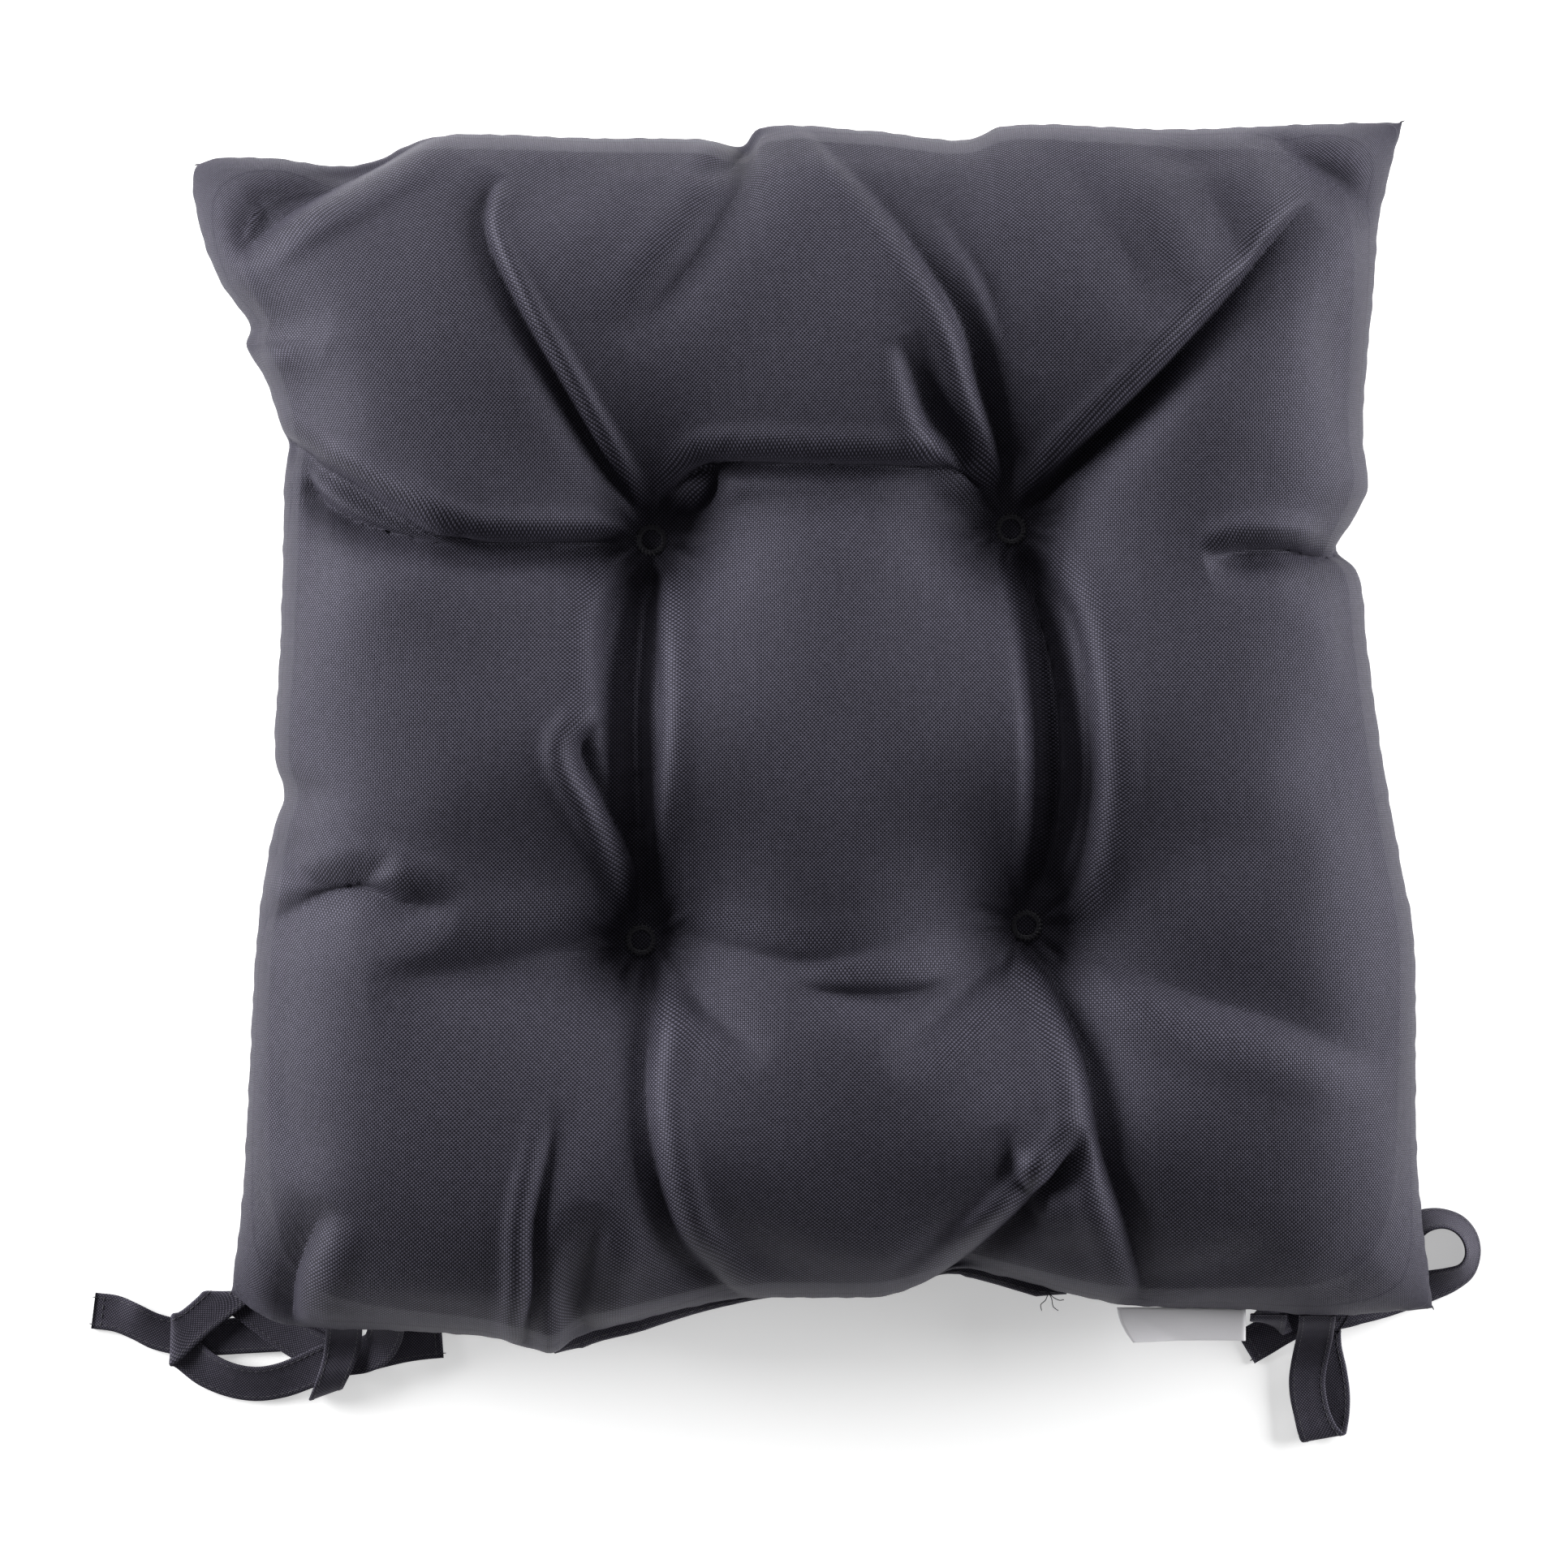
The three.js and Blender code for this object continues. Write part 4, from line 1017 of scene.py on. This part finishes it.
def fold_cloth(top, s, t):
    flat = top.reshape(-1, 3).copy()
    plan = flat[:, :2].copy()
    drops, lifts, leans = np.zeros(len(flat)), np.zeros(len(flat)), np.zeros((len(flat), 2))
    for side, wall, slope, lip, path in FOLDS.values():
        corners = np.array(path)[:, :2] * MM
        margin = 3 * max(wall, slope) * MM
        close = np.all((plan > corners.min(0) - margin) & (plan < corners.max(0) + margin), axis=1)
        drop, raised, lean = fold_effect(plan[close], side, wall, slope, lip, path)
        drops[close] += drop ** 3
        lifts[close] += raised
        leans[close] += lean
    # Near a tuft and near the seam there is no height left for a fold.
    level = meeting_level(s, t).ravel()
    room = np.clip((flat[:, 2] - level - 1.5 * MM) / FOLD_ROOM, 0, 1)
    room = room * room * (3 - 2 * room)
    near = np.min([np.hypot(plan[:, 0] - x, plan[:, 1] - y) for x, y, _, _ in tufts.values()], axis=0)
    calm = room * (1 - np.exp(-(near / TUFT_CALM) ** 2))
    lowest = level + 1.0 * MM
    above = flat[:, 2] + calm * lifts - room * np.cbrt(drops) - lowest
    rounded = (above + np.sqrt(above ** 2 + VALLEY_ROUND ** 2)) / 2
    folded = lowest + np.where(above > VALLEY_ROUND_BELOW, above, rounded)
    flat[:, 2] = np.where(room > 0.01, folded, flat[:, 2])
    flat[:, :2] += calm[:, None] * leans
    return flat.reshape(top.shape)


top_folded = fold_cloth(top_fine, s_fine, t_fine)
print(len(FOLDS), "folds, deepest", round(float((top_fine - top_folded)[..., 2].max()) * 1000, 1), "mm")

# %% [markdown]
# ## Gathers and the seam's groove
# Thread that pulls cloth gathers it into small pleats: they fan out round each tuft and ripple along the
# seam. A few waves round the tuft, strongest just outside its stitches, make the fan. Along the seam the two
# covers turn in and meet, so the shared ring of points is drawn in a millimetre, and the cloth beside it
# ripples.

# %% Gathers
GATHER_DEPTH = 1.0 * MM
GATHER_AT = 11 * MM
GATHER_BAND = 6 * MM
SEAM_GROOVE = 1.1 * MM
SEAM_RIPPLE = 0.22 * MM
RIPPLE_REACH = 0.004  # as a share of half the pad
SEAM_THREAD_OUT = 0.45 * MM


def gather(points, strength):
    for k, (x, y, _, _) in enumerate(tufts.values()):
        dx, dy = points[..., 0] - x, points[..., 1] - y
        far, turn = np.hypot(dx, dy), np.arctan2(dy, dx)
        fan = np.sin(9 * turn + 1.7 * k) + 0.7 * np.sin(14 * turn + 2.9 * k + 0.5) + 0.4 * np.sin(23 * turn + k)
        band = np.exp(-((far - GATHER_AT) / GATHER_BAND) ** 2)
        points[..., 2] += strength * GATHER_DEPTH * band * fan / 1.6


def groove_and_ripple(points, s, t):
    across = np.gradient(points[..., :2], axis=1)
    up = np.gradient(points[..., :2], axis=0)
    run = np.where(np.abs(s) > np.abs(t), points[..., 1], points[..., 0]) / MM
    wave = np.sin(run / 1.55) + 0.6 * np.sin(run / 0.97 + 1.3) + 0.8 * np.sin(run / 3.1 + 0.4)
    outward = np.zeros_like(points[..., :2])
    for direction, share in ((across, s), (up, t)):
        unit = direction / np.maximum(np.linalg.norm(direction, axis=-1, keepdims=True), 1e-9)
        fade = np.exp(-((1 - np.abs(share)) / RIPPLE_REACH) ** 2)
        outward += unit * (np.sign(share) * fade)[..., None]
    points[..., :2] += outward * (SEAM_RIPPLE * wave / 2)[..., None]
    rim = (np.abs(s) > 1 - 1e-9) | (np.abs(t) > 1 - 1e-9)
    drawn_in = SEAM_GROOVE * (1 - np.abs(s * t) ** 60)  # but a corner stays sharp
    points[..., :2] -= np.where(rim[..., None], outward * drawn_in[..., None], 0)


gather(top_folded, 1.0)
gather(bottom_fine, -1.0)
groove_and_ripple(top_folded, s_fine, t_fine)
groove_and_ripple(bottom_fine, s_fine, t_fine)
top_folded[..., 2] = np.maximum(top_folded[..., 2], 1.5 * MM)
bottom_fine[..., 2] = np.clip(bottom_fine[..., 2], 0.2 * MM, top_folded[..., 2] - 0.6 * MM)
rim_ring = np.concatenate([
    top_folded[0, :-1], top_folded[:-1, -1], top_folded[-1, :0:-1], top_folded[:0:-1, 0]
])

# %% [markdown]
# The cloth coordinates are how far a point is from the middle of the pad when its cover is laid flat. They
# are measured along the middle row and the middle column of the grid, up the steep edge as well as across, so
# that the yarns don't crowd together there.

# %% The cushion
def flat_run(line):
    run = np.concatenate([[0], np.cumsum(np.linalg.norm(np.diff(line, axis=0), axis=1))])
    return run - run[len(run) // 2]


cloth_u = flat_run(plain_top[FINE_HALF])
cloth_v = flat_run(plain_top[:, FINE_HALF])
cloth_places = np.dstack([*np.meshgrid(cloth_u, cloth_v), np.zeros_like(s_fine)])
cushion = piece_from(
    "seat_cushion", skin_points(top_folded, bottom_fine), closed_skin(2 * FINE_HALF + 1), cover_cloth,
    skin_points(cloth_places, cloth_places)[:, :2],
)
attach(cushion, "pad")
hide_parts("top_cover", "bottom_cover", "fibre_filling")
print("cushion:", len(cushion.data.polygons), "faces, height",
      round(float(top_folded[..., 2].max()) * 1000, 1), "mm")

# %% [markdown]
# ## The seam
# Along the groove runs the lock stitch that joins the covers. It shows as short threads between two small
# gathers.

# %% Seam stitches
def back_seam_run(low_x, high_x):
    """The part of the cushion's back seam between two X values, from left to right."""
    line = top_folded[0]
    inside = (line[:, 0] > low_x) & (line[:, 0] < high_x)
    return line[inside]


hem_low, hem_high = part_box("closing_stitch")
HEM_LEFT, HEM_RIGHT = hem_low[0] - 2 * MM, hem_high[0] + 2 * MM
ring = np.vstack([rim_ring, rim_ring[:1]])
outside_hem = ~((ring[:, 0] > HEM_LEFT) & (ring[:, 0] < HEM_RIGHT) & (ring[:, 1] < -150 * MM))
breaks = np.nonzero(~outside_hem)[0]
seam_run = np.vstack([ring[breaks[-1] + 1:], ring[1:breaks[0]]])
middle_of_pad = seam_run[:, :2].mean(axis=0)
outwards = seam_run[:, :2] - middle_of_pad
seam_run[:, :2] += SEAM_THREAD_OUT * outwards / np.linalg.norm(outwards, axis=1, keepdims=True)
seam_stitches = stitched(
    "seam_stitches", [seam_run], spacing=3.0 * MM, stitch_length=2.1 * MM, thread=0.5 * MM
)
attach(seam_stitches, "pad")
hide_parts("seam_thread")

# %% [markdown]
# ## The closing hem
# The pad was filled through an opening in the back seam, which was then closed by folding both edges in and
# sewing them together from outside. It shows below the cushion as a narrow flat strip with a row of stitches
# and, at its right end, the cut ends of the thread. The strip is a flat loop of cloth drawn along the back
# seam.

# %% Hem strip
HEM_DEPTH = 5.0 * MM
HEM_THICKNESS = 2.2 * MM
HEM_TUCKED = 2.5 * MM
# At these X in millimetres, this share of the hem's depth shows.
HEM_SHOWS_AT = (-80, -55, -25, -12, 20, 42, 52, 75, 90)
HEM_SHOWS = (1.0, 1.0, 0.6, 0.25, 0.2, 0.25, 0.8, 1.0, 0.9)
seam_at_hem = back_seam_run(HEM_LEFT, HEM_RIGHT)
hem_line = along(smooth_line(seam_at_hem[::6], 2), np.linspace(0, 1, 150))
hem_way = np.gradient(hem_line[:, :2], axis=0)
hem_way /= np.linalg.norm(hem_way, axis=1, keepdims=True)
hem_out = np.stack([hem_way[:, 1], -hem_way[:, 0]], axis=-1)
HEM_SECTION = [(-1.0, 0.3), (-0.5, 0.42), (0.2, 0.5), (0.6, 0.5), (0.84, 0.44), (0.96, 0.26), (1.0, 0.0)]
section = HEM_SECTION + [(a, -h) for a, h in reversed(HEM_SECTION[:-1])]


def hem_place(i, out, height):
    """A place on the hem, out from the seam as a share of its depth, and up as a share of its thickness."""
    ends = min(1.0, i / 8, (len(hem_line) - 1 - i) / 8)
    showing = np.interp(hem_line[i, 0] / MM, HEM_SHOWS_AT, HEM_SHOWS)
    depth = (HEM_DEPTH * showing if out > 0 else HEM_TUCKED) * (0.35 + 0.65 * ends)
    x, y = hem_line[i, :2] + hem_out[i] * out * depth
    droop = 1.4 * MM * max(0, out) * (1 + 0.5 * math.sin(i * 0.21))
    return (x, y, hem_line[i, 2] - droop + height * HEM_THICKNESS)


hem_points = [hem_place(i, a, h) for i in range(len(hem_line)) for a, h in section]
hem_cloth = [(i * 1.16 * MM, a * HEM_DEPTH + (0.2 if h < 0 else 0.4))
             for i in range(len(hem_line)) for a, h in section]
size, last = len(section), (len(hem_line) - 1) * len(section)
hem_faces = [((i + 1) * size + k, (i + 1) * size + (k + 1) % size, i * size + (k + 1) % size, i * size + k)
             for i in range(len(hem_line) - 1) for k in range(size)]
hem_faces += [tuple(range(size)), tuple(range(last + size - 1, last - 1, -1))]
closing_hem = piece_from("closing_hem", hem_points, hem_faces, tie_cloth, hem_cloth)
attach(closing_hem, "pad")


# %% [markdown]
# Single threads, such as the cut ends here and the stitches of the tufts below, are thin tubes along a line.
# A tube needs a direction across it at every point, which is kept from turning by carrying it on from the
# point before.

# %% Thread tubes
def thread_tube(line, thickness, sides=6, closed=False):
    """Points and faces of a tube along a line, closed to a ring or with flat ends."""
    line = np.asarray(line, float)
    way = np.roll(line, -1, axis=0) - np.roll(line, 1, axis=0) if closed else np.gradient(line, axis=0)
    way = way / np.linalg.norm(way, axis=1, keepdims=True)
    across = np.cross(way[0], (0.3, 0.2, 0.93))
    points = []
    for place, heading in zip(line, way):
        across = across - heading * across.dot(heading)
        across = across / np.linalg.norm(across)
        up = np.cross(heading, across)
        for k in range(sides):
            turn = 2 * math.pi * k / sides
            points.append(place + thickness / 2 * (math.cos(turn) * across + math.sin(turn) * up))
    count = len(line)
    faces = []
    for i in range(count if closed else count - 1):
        a, b = i * sides, ((i + 1) % count) * sides
        faces.extend((a + k, a + (k + 1) % sides, b + (k + 1) % sides, b + k) for k in range(sides))
    if not closed:
        faces.append(tuple(range(sides - 1, -1, -1)))
        faces.append(tuple((count - 1) * sides + k for k in range(sides)))
    return points, faces


def joined_tubes(name, tubes, material):
    points, faces = [], []
    for tube_points, tube_faces in tubes:
        first = len(points)
        points.extend(tube_points)
        faces.extend(tuple(first + k for k in face) for face in tube_faces)
    return piece_from(name, points, faces, material)


# %% [markdown]
# The hem is closed with one row of stitches, which shows on both of its faces. Its thread was cut off by
# hand, so three loose ends stand out at the right end of the row. Each is a tube along a short curve of its
# own.

# %% Stitches and cut thread ends of the hem
stitch_line = np.array([hem_place(i, 0.62, 0.5) for i in range(4, len(hem_line) - 4)])
under_line = np.array([hem_place(i, 0.62, -0.5) for i in range(4, len(hem_line) - 4)])
hem_stitches = stitched(
    "closing_stitches", [stitch_line, under_line], spacing=3.2 * MM, stitch_length=2.4 * MM, thread=0.45 * MM
)
end = np.array(hem_place(len(hem_line) - 6, 0.7, 0.3))
TAIL_ENDS = [[(0, 0, 0), (1, -2, 0.5), (1.5, -4.5, 0.2), (3.2, -6, -1)],
             [(0, 0, 0), (-1, -2.5, 0.4), (-2.5, -4, -0.3), (-2.2, -6, -1)],
             [(0, 0, 0), (1.5, -1.5, 0.8), (3.5, -2.5, 0.4), (5, -2.4, -0.6)]]
tails = joined_tubes(
    "closing_thread_ends",
    [thread_tube(smooth_line([end + np.array(p) * MM for p in tail], 4), 0.3 * MM, 5) for tail in TAIL_ENDS],
    slate_thread,
)
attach(hem_stitches, "pad")
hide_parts("closing_stitch")
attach(tails, "pad")

# %% [markdown]
# ## The tufts
# A tuft is sewn as a small ring of stitches, right through the pad, with its teeth pointing outwards like a
# sewn eyelet. On each face there is a thread round the ring and a zigzag that catches it, and four threads
# join the two faces. Both rings are tubes along a wave in polar coordinates.

# %% Tuft rosettes
ROSETTE_RADIUS = 4.2 * MM
ROSETTE_TEETH = 22
ROSETTE_THREAD = 0.75 * MM
ROSETTE_TOOTH = 0.75 * MM
ROSETTE_LIFT = 0.22 * MM
ROSETTE_PROUD = 0.45 * MM
RING_POINTS = 36


def surface_height(points, x, y):
    """Height of the nearest grid points of a cover round a place, as a median."""
    far = np.hypot(points[..., 0] - x, points[..., 1] - y)
    return float(np.median(points[..., 2][far < 5 * MM]))


for name, (x, y, low, high) in tufts.items():
    parts = []
    for face, cover in ((1, top_folded), (-1, bottom_fine)):
        level = surface_height(cover, x, y) + face * ROSETTE_PROUD
        turns = np.linspace(0, 2 * math.pi, 4 * ROSETTE_TEETH, endpoint=False)
        wave = np.sin(ROSETTE_TEETH * turns + 0.01)
        radius = ROSETTE_RADIUS + ROSETTE_TOOTH * np.sign(wave) * np.abs(wave) ** 0.6
        lift = face * ROSETTE_LIFT * np.cos(ROSETTE_TEETH * turns)
        zigzag = np.stack([x + radius * np.cos(turns), y + radius * np.sin(turns), level + lift], axis=-1)
        parts.append(thread_tube(zigzag, ROSETTE_THREAD, 5, closed=True))
        for inner, thickness in ((0.88, 0.9 * MM), (1.06, 0.6 * MM)):
            ring_turns = np.linspace(0, 2 * math.pi, RING_POINTS, endpoint=False)
            wobble = ROSETTE_RADIUS * inner * (1 + 0.02 * np.sin(5 * ring_turns + x * 900))
            circle = np.stack([x + wobble * np.cos(ring_turns), y + wobble * np.sin(ring_turns),
                               np.full(RING_POINTS, level - face * 0.05 * MM)], axis=-1)
            parts.append(thread_tube(circle, thickness, 6, closed=True))
    for k in range(4):
        turn = math.pi / 4 + k * math.pi / 2
        px, py = x + ROSETTE_RADIUS * math.cos(turn), y + ROSETTE_RADIUS * math.sin(turn)
        depth_line = [(px, py, z) for z in np.linspace(low + 0.6 * MM, high - 0.6 * MM, 4)]
        parts.append(thread_tube(depth_line, 0.8 * MM, 6))
    rosette = joined_tubes("tuft_rosette_" + name, parts, slate_thread)
    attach(rosette, "pad")
    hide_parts("tuft_thread_" + name)

# %% [markdown]
# ## The care label
# The label is a strip of white satin ribbon, folded in two and caught in the back seam, so that it hangs out
# as two leaves joined at the fold. On this one the left end is turned over at a slant. Its print is left off.
# Satin has long floats of yarn that all lie one way, so its sheen runs across the ribbon: a very fine ribbing
# along its length does that.

# %% Satin
def satin(name):
    recipe = Recipe(name)
    place = recipe.node("ShaderNodeUVMap", {"uv_map": "cloth"}, {}).outputs[0]
    across, up = recipe.split(place)
    ribs = (up * (2 * math.pi / (0.35 * MM))).sine() * 0.5 + 0.5
    floats = recipe.noise(recipe.node("ShaderNodeMapping", {}, {"Vector": place, "Scale": (0.05, 1, 1)}).outputs[0],
                          4000.0, detail=1.0)
    soiled = recipe.noise(place, 60.0, detail=3.0)
    recipe.set("Base Color", recipe.mix((0.5 + soiled * 0.8 + floats * 0.3).between(0, 1),
                                        shade(232, 230, 235), shade(247, 246, 249)))
    recipe.set("Roughness", (0.42 + soiled * 0.2).between(0.2, 0.8))
    recipe.set("Sheen Weight", 0.25)
    recipe.relief(ribs * 0.6 + floats * 0.4, 0.02 * MM)
    return recipe.material


label_satin = satin("label_satin_ribbon")

# %% [markdown]
# Both leaves are one ribbon in the mesh, too: its line goes out from the seam, round the fold and back. The
# mesh is a grid along that line and across the ribbon, given a thickness, and closed.

# %% Folded ribbon
label_low, label_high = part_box("care_label")
LABEL_SHEET = 0.3 * MM
LABEL_COLUMNS = 28
LABEL_TUCK = 2.4 * MM  # how far the roots reach in under the seam
LABEL_TURN_IN = 20 * MM
LABEL_TURN_UP = 7 * MM
LABEL_DROOP = 0.9 * MM
LABEL_WAVE = 0.4 * MM
label_reach = label_high[1] - label_low[1]
label_level = (label_low[2] + label_high[2]) / 2


def label_line(share):
    """The ribbon's own line in Y and Z at this share of its length, from one leaf's root round to the other's."""
    half_gap = 0.5 * MM
    straight = label_reach - half_gap - LABEL_SHEET
    run = share * (2 * straight + math.pi * half_gap)
    if run < straight:
        return label_high[1] - run, label_level + half_gap * min(1, 3 * run / straight)
    run -= straight
    if run < math.pi * half_gap:
        turn = run / half_gap
        return label_high[1] - straight - half_gap * math.sin(turn), label_level + half_gap * math.cos(turn)
    run -= math.pi * half_gap
    return label_high[1] - straight + run, label_level - half_gap * min(1, 3 * (straight - run) / straight)


label_shares = np.concatenate([
    np.linspace(0, 0.42, 10), np.linspace(0.45, 0.55, 9), np.linspace(0.58, 1, 10)
])
label_rows = np.array([label_line(share) for share in label_shares])
row_way = np.gradient(label_rows, axis=0)
row_way /= np.linalg.norm(row_way, axis=1, keepdims=True)
row_face = np.stack([row_way[:, 1], -row_way[:, 0]], axis=-1)


def label_point(x_share, row, side):
    x = label_low[0] + x_share * (label_high[0] - label_low[0])
    y, z = label_rows[row] + side * row_face[row] * LABEL_SHEET / 2
    out = (label_high[1] - y) / label_reach
    slant = max(0.0, 0.42 * out + 0.06 - x_share)  # the turned-over left end
    x += 0.55 * slant * out * LABEL_TURN_IN
    z += LABEL_TURN_UP * slant * out - LABEL_DROOP * out * x_share + LABEL_WAVE * math.sin(5 * x_share) * out
    y += LABEL_TUCK + 0.04 * label_reach * out * math.sin(2.4 * x_share)
    return (x, y, z)


rows, columns = len(label_rows), LABEL_COLUMNS + 1
label_cells = [(side, r, c) for side in (1, -1) for r in range(rows) for c in range(columns)]
label_points = [label_point(c / LABEL_COLUMNS, r, side) for side, r, c in label_cells]
label_uv = [(c * 1.5 * MM, label_shares[r] * 2 * label_reach) for _, r, c in label_cells]
layer_size = rows * columns
label_faces = []
for r in range(rows - 1):
    for c in range(columns - 1):
        a, b = r * columns + c, (r + 1) * columns + c
        label_faces.append((a, b, b + 1, a + 1))
        label_faces.append((layer_size + a, layer_size + a + 1, layer_size + b + 1, layer_size + b))
border = ([(0, c) for c in range(columns - 1)] + [(r, columns - 1) for r in range(rows - 1)]
          + [(rows - 1, c) for c in range(columns - 1, 0, -1)] + [(r, 0) for r in range(rows - 1, 0, -1)])
border = [r * columns + c for r, c in border]
for a, b in zip(border, border[1:] + border[:1]):
    label_faces.append((a, b, layer_size + b, layer_size + a))
care_label = piece_from("care_label_ribbon", label_points, label_faces, label_satin, label_uv)
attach(care_label, "label")
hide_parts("care_label")
print("label reaches", round(label_reach * 1000, 1), "mm out of the seam")

# %% [markdown]
# ## What is inside the seam
# The ties and the label go on into the seam as short flat tails. They are CAD pieces whose shape is right, so
# they stay as they are, and only their material changes. A CAD mesh has no cloth coordinates, so this
# material reads object coordinates instead.

# %% Materials of the tails
def hidden_cloth(name, dark, light, pitch):
    recipe = Recipe(name)
    place = recipe.node("ShaderNodeTexCoord", {}, {}).outputs["Object"]
    across, up = recipe.split(place)
    chequer = (across * (math.pi / pitch)).sine() * (up * (math.pi / pitch)).sine()
    recipe.set("Base Color", recipe.mix((chequer * 0.5 + 0.5).between(0, 1), dark, light))
    recipe.set("Roughness", (0.8 - abs(chequer) * 0.1).between(0, 1))
    recipe.set("Sheen Weight", 0.2)
    recipe.relief(abs(chequer), 0.05 * MM)
    return recipe.material


tail_cloth = hidden_cloth("tie_tail_cloth", shade(30, 29, 36), shade(62, 60, 70), 0.5 * MM)
tail_satin = hidden_cloth("label_tail_satin", shade(196, 193, 199), shade(232, 230, 234), 0.35 * MM)
for node, material in (("tie_tail_left", tail_cloth), ("tie_tail_right", tail_cloth), ("label_tail", tail_satin)):
    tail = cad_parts[node]
    for slot in tail.material_slots:
        slot.material = material
    print(node, "has", len(tail.material_slots), "material slots")

# %% [markdown]
# ## Floor and light
# Fabric this dark needs light that rakes across it, or its folds vanish. Three large soft panels stand low:
# one to each side and one in front, and none behind, so the slopes that face the back stay dark. The floor is
# a plain pale sheet that gives off a little light of its own, so that it stays white where the panels don't
# reach it, and a weak even sky fills the shadows.

# %% Floor
FLOOR_HALF = 20.0
FLOOR_GLOW = 0.4
floor_recipe = Recipe("pale_floor")
floor_place = floor_recipe.node("ShaderNodeTexCoord", {}, {}).outputs["Object"]
floor_grain = floor_recipe.noise(floor_place, 300.0)
floor_recipe.set("Base Color", floor_recipe.mix((floor_grain + 0.5).between(0, 1), (0.93, 0.93, 0.93, 1),
                                                (0.95, 0.95, 0.95, 1)))
floor_recipe.set("Roughness", 0.9)
floor_recipe.set("Specular IOR Level", 0.1)
floor_recipe.set("Emission Color", (1, 1, 1, 1))
floor_recipe.set("Emission Strength", FLOOR_GLOW)
floor_corners = [(x * FLOOR_HALF, y * FLOOR_HALF, 0) for x, y in ((-1, -1), (1, -1), (1, 1), (-1, 1))]
floor = piece_from("floor", floor_corners, [(0, 1, 2, 3)], floor_recipe.material, smooth=False)


# %% [markdown]
# Each panel is an area light. Such a light shines along its own -Z, so it is turned until that axis points at
# the top of the pad. The two at the sides stand lowest, because light that rakes across the cloth is what
# draws its folds.

# %% Light panels
def light_panel(name, place, target, size, watts):
    data = bpy.data.lights.new(name, "AREA")
    data.shape = "RECTANGLE"
    data.size, data.size_y = size
    data.energy = watts
    panel = bpy.data.objects.new(name, data)
    panel.location = place
    aim = Vector(target) - Vector(place)
    panel.rotation_euler = aim.to_track_quat("-Z", "Y").to_euler()
    bpy.context.scene.collection.objects.link(panel)


PAD_TOP = (0, 0, 0.05)
SKY_STRENGTH = 0.14
light_panel("panel_left", (-1.6, 0.45, 0.5), PAD_TOP, (1.2, 0.6), 66)
light_panel("panel_right", (1.6, 0.3, 0.5), PAD_TOP, (1.2, 0.6), 50)
light_panel("panel_front", (0.1, 1.8, 0.75), PAD_TOP, (1.6, 0.7), 27)

world = bpy.data.worlds.new("even_sky")
world.use_nodes = True
world.node_tree.nodes["Background"].inputs["Color"].default_value = (1, 1, 1, 1)
world.node_tree.nodes["Background"].inputs["Strength"].default_value = SKY_STRENGTH
bpy.context.scene.world = world
bpy.context.scene.view_settings.view_transform = "Standard"
bpy.context.scene.view_settings.look = "None"
